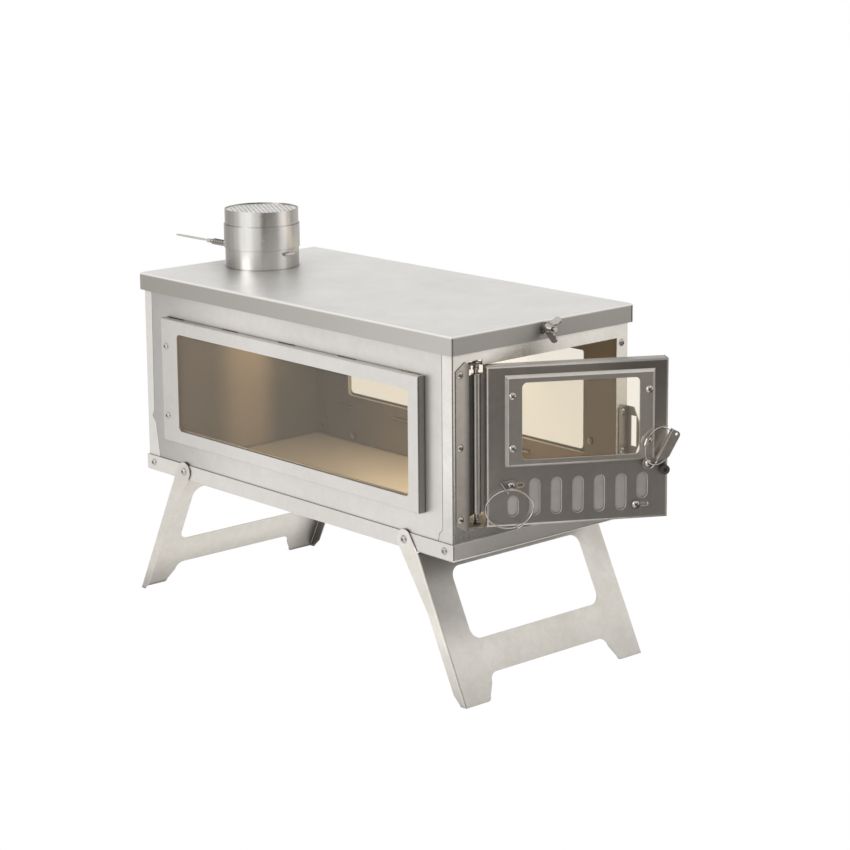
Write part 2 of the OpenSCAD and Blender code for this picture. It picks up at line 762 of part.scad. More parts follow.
// Threaded stud with a head behind the panel and two washers on the lid
module lid_stud() {
    color("#BDB9B2") translate([0, 0, stud_z]) rotate([90, 0, 0]) {
        translate([0, 0, end_y - sheet - 2.4]) cylinder(r = 5, h = 2.2, $fn = 48);
        translate([0, 0, end_y - sheet - 1]) cylinder(r = stud_r, h = 17, $fn = 48);
        translate([0, 0, lid_l / 2]) cylinder(r = 5.4, h = 1, $fn = 48);
        translate([0, 0, lid_l / 2 + 1]) cylinder(r = 4.4, h = 0.8, $fn = 48);
    }
}
module wing_nut() {
    color("#C6C2BB") translate([0, -lid_l / 2 - 1.9, stud_z]) rotate([90, 0, 0]) difference() {
        union() {
            cylinder(r = 4.2, h = 3, $fn = 48);
            translate([0, 0, 3]) cylinder(r1 = 4.2, r2 = 3.3, h = 5, $fn = 48);
            for (a = [75, 255]) rotate([90, 0, a]) translate([0, 0, -0.8]) {
                linear_extrude(1.6) polygon([[2.6, 2], [5, 1.2], [10.6, 9], [9, 13.6], [6.4, 13.2],
                    [2.6, 7]]);
                translate([8, 11, 0]) cylinder(r = 3.2, h = 1.6, $fn = 48);
            }
        }
        translate([0, 0, -eps]) cylinder(r = stud_r + fit, h = 20, $fn = 48);
    }
}

// ---- damper: axle, plate, coil grip and wire loop ----

module damper_axle() {
    color("#D8D6D2") translate([0, 0, damper_z]) {
        translate([0, ferrule_y + 1, 0]) rotate([90, 0, 0])
            cylinder(r = axle_r, h = ferrule_y + 1 - front_bend_y, $fn = 48);
        translate([-axle_r, front_bend_y, 0]) rotate([0, 90, 0])
            cylinder(r = axle_r, h = axle_r + bend_l, $fn = 48);
        // stop washer at the flue's back
        translate([0, spring_y, 0]) rotate([90, 0, 0]) cylinder(r = 3.4, h = 1, $fn = 48);
    }
}
module damper_plate() {
    color("#A9A49B") translate([0, flue_y, damper_z]) {
        rotate([0, 90, 0]) difference() {
            cylinder(r = plate_r, h = plate_t, center = true, $fn = 96);
            cube([2 * axle_r + 0.1, 3 * flue_r, 3], center = true);
        }
        // clips that hold the plate to the axle
        for (y = [-20, 20]) translate([0, y, 0]) rotate([90, 0, 0]) difference() {
            cylinder(r = axle_r + 0.9, h = 8, center = true, $fn = 48);
            cylinder(r = axle_r + 0.04, h = 9, center = true, $fn = 48);
        }
    }
}
// Coil from a formula: 8 rings a curl, both ends straight along the axle
coil_path = let (y0 = spring_y + 2 * spring_wire, steps = curls * 8) concat(
    [[spring_r, spring_y, 0], [spring_r, spring_y + 2 * spring_wire - 0.2, 0]],
    [for (i = [1:steps - 1]) [spring_r * cos(45 * i), y0 + spring_l * i / steps,
        spring_r * sin(45 * i)]],
    [[spring_r, y0 + spring_l + 0.2, 0], [spring_r, y0 + spring_l + 2 * spring_wire, 0]]);
function coil_gap(p, w) = min([for (i = [0:len(p) - 1]) each
    [for (j = [i + 5:1:min(i + 20, len(p) - 1)]) norm(p[i] - p[j]) - 2 * w]]);
echo(least_gap_of_coil = coil_gap(coil_path, spring_wire));
module damper_spring() {
    color("#C9C7C3") translate([0, 0, damper_z]) 
        swept_tube(coil_path, [for (q = coil_path) [q[0], 0, q[2]]], spring_wire, 6);
}
// Ferrule and a long pointed wire loop
loop_path = let (y0 = ferrule_y + ferrule_l, y1 = y0 + loop_l) [
    [-1, y0 - 1, 0], [-1, y0 + 1, 0], [-1.4, y0 + 4, 0], [-loop_half, y0 + 10, 0],
    [-loop_half, y1 - 16, 0], [-1.7, y1 - 6, 0], [-0.9, y1 - 1.4, 0], [-0.35, y1 - 0.7, 0],
    [0.35, y1 - 0.7, 0], [0.9, y1 - 1.4, 0], [1.7, y1 - 6, 0], [loop_half, y1 - 16, 0],
    [loop_half, y0 + 10, 0], [1.4, y0 + 4, 0], [1, y0 + 1, 0], [1, y0 - 1, 0]];
module damper_loop() {
    color("#C9C7C3") translate([0, 0, damper_z]) {
        difference() {
            translate([0, ferrule_y + ferrule_l, 0]) rotate([90, 0, 0])
                cylinder(r = ferrule_r, h = ferrule_l, $fn = 48);
            translate([0, ferrule_y + 1, 0]) rotate([90, 0, 0])
                cylinder(r = axle_r + 0.04, h = 2, $fn = 48);
        }
        swept_tube(loop_path, [for (q = loop_path) [0, 0, 1]], loop_wire, 8);
    }
}

// ---- flue top ----

// Sleeve over the collar, its inner bead resting on the collar's edge
module flue_sleeve() {
    color("#CFCDC9") translate([0, flue_y, 0]) difference() {
        translate([0, 0, sleeve_z])
            cylinder(r = flue_r + 0.08 + sleeve_wall, h = sleeve_top - sleeve_z, $fn = 96);
        translate([0, 0, sleeve_z - eps])
            cylinder(r = flue_r + 0.08, h = collar_top - sleeve_z + eps, $fn = 96);
        translate([0, 0, cap_z]) cylinder(r = flue_r + 0.08, h = flue_h, $fn = 96);
        translate([0, 0, sleeve_z]) cylinder(r = flue_r - flue_wall, h = flue_h, $fn = 96);
    }
}
module spark_cap_ring() {
    color("#CFCDC9") translate([0, flue_y, 0]) difference() {
        translate([0, 0, cap_z]) cylinder(r = flue_r, h = cap_top - cap_z, $fn = 96);
        translate([0, 0, cap_z - eps])
            cylinder(r = flue_r - flue_wall, h = cap_top - cap_z + 2 * eps, $fn = 96);
    }
}
mesh_r = flue_r - flue_wall - 0.05;
mesh_rows = floor((mesh_r - 2.2) / (mesh_pitch * 0.866));
module spark_mesh() {
    color("#B5B2AD") translate([0, flue_y, cap_top - 1 - mesh_t]) linear_extrude(mesh_t)
        difference() {
            circle(r = mesh_r, $fn = 96);
            for (j = [-mesh_rows:mesh_rows], i = [-9:9]) let (
                x = (i + abs(j) % 2 / 2) * mesh_pitch,
                y = j * mesh_pitch * 0.866)
                if (norm([x, y]) < mesh_r - 2.2) translate([x, y])
                    circle(r = mesh_hole_r, $fn = 6);
        }
}

// ---- door ----

module air_slots() {
    for (i = [0:slot_count - 1]) let (
        s = slot_s + i * slot_pitch,
        low = slot_z + (i == slot_count - 1 ? slot_cut_low : 0),
        high = slot_z + slot_h - (i == 0 ? slot_cut_top : 0))
        obround([s, low + slot_w / 2], [s, high - slot_w / 2], slot_w / 2);
}
bezel_screws = [for (s = [bezel_s + bezel_screw_inset, bezel_s + bezel_w - bezel_screw_inset],
    z = [bezel_z + bezel_screw_drop, bezel_z + bezel_screw_drop + bezel_screw_gap]) [s, z]];
module door_pan() {
    color("#8E8983") {
        on_face() difference() {
            translate([door_w / 2, door_z + door_h / 2, 0]) rotate([180, 0, 0])
                folded_pan(door_w, door_h, door_d, fold_r);
            translate([0, 0, -sheet - eps]) linear_extrude(sheet + 2 * eps) {
                round_rect(bezel_s + bezel_border - 1, bezel_z + bezel_rail - 1,
                    bezel_s + bezel_w - bezel_border + 1, bezel_z + bezel_h - bezel_rail + 1,
                    glass_r);
                air_slots();
                for (g = [guide_left, guide_right])
                    obround(g, g + [slider_travel, 0], shank_r + guide_clear);
                for (p = concat(bezel_screws, [[pivot_s, pivot_z], [stop_s, stop_z]]))
                    translate(p) circle(r = hole_r, $fn = 32);
            }
        }
        // barrel curled from a strap on the pan's side wall
        on_door() difference() {
            union() {
                translate([0, 0, barrel_z]) cylinder(r = barrel_r, h = barrel_top - barrel_z, $fn = 48);
                translate([0, barrel_r - sheet, barrel_z])
                    cube([hinge_off + sheet / 2, sheet, barrel_top - barrel_z]);
            }
            translate([0, 0, barrel_z - eps])
                cylinder(r = pin_r + fit, h = barrel_top - barrel_z + 2 * eps, $fn = 48);
        }
    }
}
module door_glass() {
    color("#E5D8C5", 0.35) on_face() linear_extrude(door_glass_t)
        translate([bezel_s + bezel_border - glass_lap_s, bezel_z + bezel_rail - glass_lap_z])
            square([bezel_w - 2 * (bezel_border - glass_lap_s),
                bezel_h - 2 * (bezel_rail - glass_lap_z)]);
}
// Block with bevelled front edges, its corners mitred
module bevel_block(w, l, h, bevel) {
    intersection() {
        translate([0, l / 2, 0]) rotate([90, 0, 0]) linear_extrude(l)
            polygon([[-w / 2, 0], [w / 2, 0], [w / 2 - bevel, h], [-w / 2 + bevel, h]]);
        translate([-w / 2, 0, 0]) rotate([90, 0, 90]) linear_extrude(w)
            polygon([[-l / 2, 0], [l / 2, 0], [l / 2 - bevel, h], [-l / 2 + bevel, h]]);
    }
}
module door_glass_frame() {
    color("#A39E96") on_face() difference() {
        translate([bezel_s + bezel_w / 2, bezel_z + bezel_h / 2, 0])
            bevel_block(bezel_w, bezel_h, bezel_d, bezel_bevel);
        translate([bezel_s + bezel_w / 2, bezel_z + bezel_h / 2, -eps])
            bevel_block(bezel_w - 2 * bezel_t, bezel_h - 2 * bezel_t, bezel_d - bezel_t + eps,
                bezel_bevel);
        linear_extrude(bezel_d + 1) round_rect(bezel_s + bezel_border, bezel_z + bezel_rail,
            bezel_s + bezel_w - bezel_border, bezel_z + bezel_h - bezel_rail, glass_r);
        for (p = bezel_screws) translate(p) cylinder(r = hole_r, h = bezel_d + 1, $fn = 32);
    }
}
module door_frame_screws() {
    color("#C9C6C1") on_face() for (p = bezel_screws) translate([p[0], p[1], bezel_d])
        bolt(head_r, shank_r, bezel_d + sheet, nut_r);
}
// Screw that carries the lever, on a spacer
module latch_pivot_screw() {
    color("#C9C6C1") on_face() translate([pivot_s, pivot_z, 0]) {
        translate([0, 0, lug_b + sheet + 0.1]) bolt(head_r, shank_r, lug_b + 2 * sheet + 0.1, nut_r);
        difference() {
            cylinder(r = 2, h = lug_b - 0.1, $fn = 48);
            translate([0, 0, -eps]) cylinder(r = shank_r + 0.05, h = lug_b, $fn = 48);
        }
    }
}
module latch_stop() {
    color("#3B3835") on_face() translate([stop_s, stop_z, 0]) difference() {
        union() {
            cylinder(r = stop_r, h = stop_h, $fn = 48);
            translate([0, 0, -sheet - 2]) cylinder(r = shank_r, h = sheet + 3, $fn = 32);
        }
        translate([0, 0, stop_h - 1.6]) cylinder(r = 1.9, h = 3, $fn = 6);
    }
}

// ---- air slider ----

module air_slider() {
    color("#BDB7AE") on_face() translate([0, 0, -2 * sheet - slider_gap]) linear_extrude(sheet)
        difference() {
            translate([slider_s, slot_z - slider_under]) square([slider_l, slider_h]);
            translate([-slider_travel, 0]) air_slots();
            for (g = [guide_left, guide_right]) translate(g) circle(r = hole_r, $fn = 32);
        }
}
module slider_screws() {
    color("#C9C6C1") on_face() {
        for (g = [guide_left, guide_right]) translate([g[0], g[1], washer_t])
            bolt(head_r, shank_r, washer_t + 2 * sheet + slider_gap, nut_r);
        translate([guide_right[0], guide_right[1], 0]) difference() {
            cylinder(r = 3.9, h = washer_t, $fn = 48);
            translate([0, 0, -eps]) cylinder(r = shank_r + 0.05, h = 2, $fn = 48);
        }
    }
}
// Tab under the left screw with a flap folded out, its hole carrying the ring
module slider_tab() {
    color("#C4BFB8") on_face() translate([guide_left[0], guide_left[1], 0]) rotate([0, 0, tab_turn])
        difference() {
            union() {
                cylinder(r = washer_r, h = washer_t, $fn = 48);
                linear_extrude(washer_t) polygon([[-8, -tab_line_off], [2.6, -tab_line_off],
                    [4.4, -1.6], [-3, 3.4]]);
                translate([-8, -tab_line_off, 0]) cube([10.6, washer_t, tab_high]);
            }
            translate([0, 0, -eps]) cylinder(r = shank_r + 0.05, h = 2, $fn = 48);
            translate([ring_hole[0], 0, ring_b]) rotate([90, 0, 0])
                cylinder(r = ring_hole_r, h = 12, $fn = 48);
        }
}
// Pull ring hanging in the flap's hole
module slider_ring_place() {
    on_face() translate([guide_left[0], guide_left[1], ring_b]) rotate([0, 0, tab_turn])
        translate(ring_hole) rotate([0, 0, -tab_turn]) translate([ring_off, -ring_drop, 0])
            children();
}
module slider_ring() {
    color("#D5D2CC") slider_ring_place() oval_loop(ring_a, ring_bh, ring_end, wire_r);
}
module slider_ring_clasp() {
    color("#B9B4AC") slider_ring_place() oval_clasp(ring_a, ring_bh, ring_end, wire_r, -67.6, 13);
}

// ---- latch lever ----

module on_lever() {
    on_face() translate([pivot_s, pivot_z, lug_b]) rotate([0, 0, lever_angle]) children();
}
// Z-folded lever: a lug on the screw, a flange across, and a face plate standing off
module latch_lever() {
    color("#C9C4BC") on_lever() difference() {
        union() {
            intersection() {
                cylinder(r = lug_r, h = sheet, $fn = 48);
                translate([-10, -arm_v - sheet, -1]) cube([20, 20, 3]);
            }
            translate([0, -arm_v, 0]) rotate([90, 0, 0]) linear_extrude(sheet)
                polygon([[-3, 0], [-3, sheet], [4.6, arm_depth], [lever_l, arm_depth],
                    [lever_l, 0.6], [lever_l - 0.6, 0]]);
            translate([0, 0, arm_depth - sheet]) linear_extrude(sheet) {
                polygon([[4.6, -arm_v], [12.7, -arm_v - lever_w], [lever_l - 3, -arm_v - lever_w],
                    [lever_l, -arm_v - lever_w + 3], [lever_l, -arm_v]]);
                translate([lever_l - 3, -arm_v - lever_w + 3]) circle(r = 3, $fn = 48);
            }
        }
        translate([0, 0, -eps]) cylinder(r = shank_r + fit, h = 3, $fn = 48);
        translate([latch_hole_u, 0, latch_hole_b]) rotate([90, 0, 0])
            cylinder(r = ring_hole_r, h = arm_v + sheet + 2, $fn = 48);
        translate([lever_l - 2.6, -arm_v - 4.6, 0]) cylinder(r = 1.1, h = 20, $fn = 32);
    }
}
// Ring through the flange's hole, leaning a little outwards over the pivot screw
module latch_ring_place() {
    on_lever() translate([latch_hole_u, -arm_v - sheet / 2, latch_hole_b])
        rotate([0, 0, -lever_angle])
            rotate(a = latch_lean, v = [-cos(latch_axis), -sin(latch_axis), 0])
                rotate([0, 0, latch_tilt])
                    translate([-(loop_a - loop_end) - loop_end * cos(latch_phi),
                        loop_end * sin(latch_phi), 0])
                        children();
}
module latch_ring() {
    color("#D5D2CC") latch_ring_place() oval_loop(loop_a, loop_b, loop_end, wire_r);
}
module latch_ring_clasp() {
    color("#B9B4AC") latch_ring_place() rotate([0, 0, 180])
        oval_clasp(loop_a, loop_b, loop_end, wire_r, -88, 16);
}

// ---- legs ----

// Outline of a leg's side flange below the plate's top edge, as y and z from the pivot
module leg_flange_outline() {
    polygon([[-leg_off, -leg_end - 8], [-leg_off + leg_flange - 4, -leg_end - 8],
        [-leg_off + leg_flange - 4, -leg_end + 4], [-leg_off + leg_flange, -leg_end + 14],
        [-leg_off + leg_flange, -leg_shoulder], ear_inner, [0, 0], ear_outer, [-leg_off, -leg_top]]);
    circle(r = ear_r, $fn = 64);
}
// Tangent points of the flange's edges on the round ear
function touch(p, r, side) = let (a = atan2(p[1], p[0]) + side * acos(r / norm(p)))
    [r * cos(a), r * sin(a)];
ear_inner = touch([-leg_off + leg_flange, -leg_shoulder], ear_r, 1);
ear_outer = touch([-leg_off + fold_r, -leg_top], ear_r, -1);
module leg() {
    difference() {
        translate([0, -pivot_y, pivot_z0]) rotate([-splay, 0, 0]) difference() {
            intersection() {
                translate([0, -leg_off, -leg_end - 8]) linear_extrude(2 * leg_end) difference() {
                    fold_section(leg_w, 2 * leg_off, fold_r);
                    translate([0, sheet]) fold_section(leg_w - 2 * sheet, big, fold_r - sheet);
                }
                translate([-leg_w / 2, 0, 0]) rotate([90, 0, 90]) linear_extrude(leg_w)
                    leg_flange_outline();
            }
            // the plate stops below the tray, and its openings
            translate([-leg_w / 2 + sheet, -leg_off - 1, -leg_top])
                cube([leg_w - 2 * sheet, fold_r + 1, leg_top]);
            translate([0, -leg_off + 2, 0]) rotate([90, 0, 0]) linear_extrude(4) {
                round_rect(-leg_w / 2 + foot_w, -leg_hole_top - leg_hole_h,
                    leg_w / 2 - foot_w, -leg_hole_top, leg_hole_r);
                foot_gap();
            }
            rotate([0, 90, 0]) cylinder(r = pin_r + fit, h = big, center = true, $fn = 48);
        }
        // cut flat on the ground
        translate([0, 0, -big / 2]) cube([big, 2 * big, big], center = true);
    }
}
// Cut-out between the feet, its top corners and the feet's inner corners round
module foot_gap() {
    top = -leg_hole_top - leg_hole_h - bar_h;
    foot_x = leg_w / 2 - foot_w;
    polygon([[-gap_top_half, top - gap_r], [-gap_top_half + gap_r, top],
        [gap_top_half - gap_r, top], [gap_top_half, top - gap_r], [foot_x, -leg_end + foot_r],
        [foot_x, -leg_end - 9], [-foot_x, -leg_end - 9], [-foot_x, -leg_end + foot_r]]);
    for (s = [-1, 1]) {
        translate([s * (gap_top_half - gap_r), top - gap_r]) circle(r = gap_r, $fn = 48);
        difference() {
            translate([s * foot_x + (s - 1) / 2 * foot_r, -leg_end - 9])
                square([foot_r, foot_r + 9]);
            translate([s * (foot_x + foot_r), -leg_end + foot_r]) circle(r = foot_r, $fn = 48);
        }
    }
}
module front_leg() { color("#D0CCC5") leg(); }
module rear_leg() { color("#D0CCC5") rotate([0, 0, 180]) leg(); }

base_tray();
front_panel();
rear_panel();
left_side_panel();
right_side_panel();
left_window_frame();
left_window_glass();
left_window_gasket();
right_window_frame();
right_window_glass();
right_window_gasket();
window_screws();
tray_screws();
leg_pivot_screws();
hinge_bracket();
hinge_bracket_screws();
hinge_pins();
front_post_screw();
latch_strike();
latch_strike_screws();
lid();
flue_collar();
lid_stud();
wing_nut();
damper_axle();
damper_plate();
damper_spring();
damper_loop();
flue_sleeve();
spark_cap_ring();
spark_mesh();
door_pan();
door_glass();
door_glass_frame();
door_frame_screws();
latch_pivot_screw();
latch_stop();
air_slider();
slider_screws();
slider_tab();
slider_ring();
slider_ring_clasp();
latch_lever();
latch_ring();
latch_ring_clasp();
front_leg();
rear_leg();
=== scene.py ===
import bpy, math
from mathutils import Matrix, Vector


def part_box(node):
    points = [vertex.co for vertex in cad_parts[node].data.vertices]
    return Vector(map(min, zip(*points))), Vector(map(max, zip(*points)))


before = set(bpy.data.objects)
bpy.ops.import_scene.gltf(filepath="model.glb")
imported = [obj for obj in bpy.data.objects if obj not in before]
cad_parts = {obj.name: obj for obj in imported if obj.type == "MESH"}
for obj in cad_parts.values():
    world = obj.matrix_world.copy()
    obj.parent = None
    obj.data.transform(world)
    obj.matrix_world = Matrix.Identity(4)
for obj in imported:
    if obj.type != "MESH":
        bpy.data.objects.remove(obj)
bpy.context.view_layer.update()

# ---- Camera ----
# A long lens stands off the stove's front left corner, a little above the lid.
# The picture is cropped from a wider one, so the lens axis lies up and left of its middle.
turn, tilt, roll = math.radians(-40.68), math.radians(11.7), math.radians(-0.70)
stand = Vector((-1.3900, -1.6174, 0.6935))
back = Vector((math.sin(turn) * math.cos(tilt), -math.cos(turn) * math.cos(tilt),
               math.sin(tilt)))
right = (-back).cross(Vector((0, 0, 1))).normalized()
up = right.cross(-back)
right, up = (right * math.cos(roll) + up * math.sin(roll),
             up * math.cos(roll) - right * math.sin(roll))
camera = bpy.data.objects.new("camera", bpy.data.cameras.new("camera"))
bpy.context.scene.collection.objects.link(camera)
camera.matrix_world = Matrix((
    (right.x, up.x, back.x, stand.x), (right.y, up.y, back.y, stand.y),
    (right.z, up.z, back.z, stand.z), (0, 0, 0, 1)))
camera.data.sensor_width = 36
camera.data.lens = 101.77
camera.data.shift_x, camera.data.shift_y = 0.0568, -0.0856
camera.data.clip_start, camera.data.clip_end = 0.05, 50
bpy.context.scene.camera = camera
bpy.context.scene.view_settings.view_transform = "Standard"

# ---- Studio ----
# A white floor and white walls all round, lit from above and from the left, with the dark
# of the room behind the camera, which only shows as a reflection in the steel.
MAT_LEVEL = 0.002    # metres; the mats lie just clear of the floor


def srgb(code):
    """Colour for a socket from an sRGB hex value."""
    values = [int(code[i:i + 2], 16) / 255 for i in (1, 3, 5)]
    return [v / 12.92 if v <= 0.04045 else ((v + 0.055) / 1.055) ** 2.4
            for v in values] + [1.0]


def put(tree, kind, settings=(), links=()):
    """Add one node, with its settings, input values and links."""
    node = tree.nodes.new(kind)
    for name, value in dict(settings).items():
        if isinstance(name, int) or name in node.inputs:
            node.inputs[name].default_value = value
        else:
            setattr(node, name, value)
    for name, source in dict(links).items():
        tree.links.new(source, node.inputs[name])
    return node


def empty_material(name):
    """A material without nodes, and its tree."""
    material = bpy.data.materials.new(name)
    material.use_nodes = True
    material.node_tree.nodes.clear()
    return material, material.node_tree


def glow(name, code, strength=1.0):
    """Plain emitting surface for the floor and the cards."""
    material, tree = empty_material(name)
    emission = put(tree, "ShaderNodeEmission", {"Color": srgb(code), "Strength": strength})
    put(tree, "ShaderNodeOutputMaterial", {}, {"Surface": emission.outputs[0]})
    return material


def fading_glow(name, near, far, span):
    """Emitting surface that fades from one colour to another over a span of Y."""
    material = glow(name, near)
    tree = material.node_tree
    place = put(tree, "ShaderNodeSeparateXYZ", {},
                {0: put(tree, "ShaderNodeTexCoord").outputs["Object"]})
    share = put(tree, "ShaderNodeMapRange", {"From Min": span[0], "From Max": span[1],
                                             "interpolation_type": "SMOOTHSTEP"},
                {"Value": place.outputs["Y"]})
    shade = put(tree, "ShaderNodeMix", {"data_type": "RGBA", 6: srgb(near), 7: srgb(far)},
                {0: share.outputs[0]})
    tree.links.new(shade.outputs[2], tree.nodes["Emission"].inputs["Color"])
    return material


def flat_piece(name, corners, material):
    """One flat four-cornered sheet."""
    mesh = bpy.data.meshes.new(name)
    mesh.from_pydata(corners, [], [(0, 1, 2, 3)])
    mesh.materials.append(material)
    piece = bpy.data.objects.new(name, mesh)
    bpy.context.scene.collection.objects.link(piece)
    return piece


flat_piece("studio_floor", [(-9, -9, 0), (9, -9, 0), (9, 9, 0), (-9, 9, 0)],
           glow("white floor", "#FFFFFF"))
cards = [
    flat_piece("room_card", [(-3.2, -3.0, 0.0), (0.9, -3.0, 0.0), (0.9, -3.0, 1.5),
                             (-3.2, -3.0, 1.5)], glow("dark room", "#55514D")),
    flat_piece("floor_card", [(-2.4, -3.0, MAT_LEVEL), (0.30, -3.0, MAT_LEVEL),
                              (0.02, -0.50, MAT_LEVEL), (-0.8, -0.62, MAT_LEVEL)],
               fading_glow("dark floor", "#4A4642", "#857F79", (-0.75, -1.6))),
    flat_piece("right_card", [(0.31, -3.0, MAT_LEVEL), (2.6, -2.4, MAT_LEVEL),
                              (2.0, -0.26, MAT_LEVEL), (0.03, -0.26, MAT_LEVEL)],
               fading_glow("dark mat", "#2A2622", "#F7F4F0", (-0.52, -1.00))),
    # the grey ceiling and the mat behind keep the lid and the rear from burning out
    flat_piece("ceiling_card", [(-1.0, -1.0, 2.5), (1.0, -1.0, 2.5), (1.0, 1.0, 2.5),
                                (-1.0, 1.0, 2.5)], glow("grey ceiling", "#CFCCC8")),
    flat_piece("rear_card", [(-0.10, 0.62, MAT_LEVEL), (0.8, 0.62, MAT_LEVEL),
                             (2.4, 3.0, MAT_LEVEL), (-0.10, 3.0, MAT_LEVEL)],
               fading_glow("dark mat behind", "#A5A29D", "#E2E0DC", (0.75, 1.6))),
    # a bright wall outside the right window, lower than the lid, lights the firebox
    flat_piece("window_card", [(0.30, -0.24, 0.04), (0.30, 0.20, 0.04), (0.30, 0.20, 0.29),
                               (0.30, -0.24, 0.29)], glow("bright wall", "#FFF4E4", 1.6))]
for card in cards:
    card.visible_camera = card.visible_diffuse = card.visible_shadow = False
    card.visible_transmission = False

world = bpy.data.worlds.new("studio")
bpy.context.scene.world = world
world.use_nodes = True
world.node_tree.nodes["Background"].inputs["Color"].default_value = srgb("#FFFFFF")
world.node_tree.nodes["Background"].inputs["Strength"].default_value = 0.95


def soft_box(name, place, aim, size, power, code="#FFFFFF"):
    """Square soft box aimed at a point, its size in metres and its power in watts."""
    light = bpy.data.lights.new(name, "AREA")
    light.shape, light.size, light.energy = "SQUARE", size, power
    light.color = srgb(code)[:3]
    box = bpy.data.objects.new(name, light)
    bpy.context.scene.collection.objects.link(box)
    box.location = place
    box.rotation_euler = (Vector(aim) - Vector(place)).to_track_quat("-Z", "Y").to_euler()
    box.visible_camera = False
    return box


top = soft_box("top_box", (-0.4, 0.3, 2.2), (0, 0, 0.2), size=1.4, power=16)
top.visible_glossy = False
soft_box("left_box", (-2.2, 0.2, 1.0), (0, 0, 0.2), size=1.0, power=9)
# a small soft lamp under the lid brings up the firebox floor and the foot of its rear wall
inner = soft_box("firebox_lamp", (0.02, -0.06, 0.285), (0.0, 0.10, 0.085), size=0.12,
                 power=0.46, code="#FFF1DF")
inner.visible_glossy = False

# ---- Folded sheet of the firebox ----
# Stainless steel sheet 1 mm thick, cut by laser and folded on a brake, left as rolled: pale
# warm grey, satin, with a faint grain along its length and soft clouds of handling marks.
MM = 0.001
TRAY_FRONT, TRAY_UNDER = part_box("base_tray")[0][1:3]
FLOOR_TOP = TRAY_UNDER + 1.0 * MM
# half the firebox's width and length, to a point within the thickness of its upright sheets
MID_SIDE, MID_END = 103.3 * MM, 213.6 * MM
REAR_END, LID_LEVEL = 214 * MM, 312 * MM


def paint_hollow_shade(tree, colour, reach, tone):
    """Darken a colour to a tone where other surfaces stand within reach mm, as painted shade.
    """
    open_sky = put(tree, "ShaderNodeAmbientOcclusion", {"Distance": reach * MM, "samples": 8})
    share = put(tree, "ShaderNodeMapRange", {"From Min": 0.25, "From Max": 0.92,
                                             "To Min": tone, "To Max": 1.0},
                {"Value": open_sky.outputs["AO"]})
    return put(tree, "ShaderNodeVectorMath", {"operation": "SCALE"},
               {0: colour, "Scale": share.outputs[0]}).outputs[0]


def fading(tree, colour, axis, start, end, tone, other=None):
    """Scale a colour by a tone at the start of a stretch of an axis, easing to 1 at its end.

    With other, an axis with its start and end, only the part near both starts is scaled.
    A tone under 1 is painted shade, a tone over 1 painted light.
    """
    place = put(tree, "ShaderNodeSeparateXYZ", {},
                {0: put(tree, "ShaderNodeTexCoord").outputs["Object"]})
    share = put(tree, "ShaderNodeMapRange", {"From Min": start, "From Max": end,
                                             "interpolation_type": "SMOOTHSTEP"},
                {"Value": place.outputs[axis]})
    if other:
        beside = put(tree, "ShaderNodeMapRange", {"From Min": other[1], "From Max": other[2],
                                                  "interpolation_type": "SMOOTHSTEP"},
                     {"Value": place.outputs[other[0]]})
        share = put(tree, "ShaderNodeMath", {"operation": "MAXIMUM"},
                    {0: share.outputs[0], 1: beside.outputs[0]})
    scale = put(tree, "ShaderNodeMapRange", {"To Min": tone, "To Max": 1.0},
                {"Value": share.outputs[0]})
    return put(tree, "ShaderNodeVectorMath", {"operation": "SCALE"},
               {0: colour, "Scale": scale.outputs[0]}).outputs[0]


def firebox_inside(tree):
    """1 on faces inside the firebox, 0 on its outer faces."""
    place = put(tree, "ShaderNodeTexCoord").outputs["Object"]
    sides = put(tree, "ShaderNodeSeparateXYZ", {},
                {0: put(tree, "ShaderNodeVectorMath", {"operation": "ABSOLUTE"},
                        {0: place}).outputs[0]})
    across = put(tree, "ShaderNodeMath", {"operation": "LESS_THAN", 1: MID_SIDE},
                 {0: sides.outputs["X"]})
    along = put(tree, "ShaderNodeMath", {"operation": "LESS_THAN", 1: MID_END},
                {0: sides.outputs["Y"]})
    # from just under the tray's upper face
    above = put(tree, "ShaderNodeMath", {"operation": "GREATER_THAN", 1: FLOOR_TOP - 0.4 * MM},
                {0: sides.outputs["Z"]})
    plan = put(tree, "ShaderNodeMath", {"operation": "MULTIPLY"},
               {0: across.outputs[0], 1: along.outputs[0]})
    return put(tree, "ShaderNodeMath", {"operation": "MULTIPLY"},
               {0: plan.outputs[0], 1: above.outputs[0]}).outputs[0]


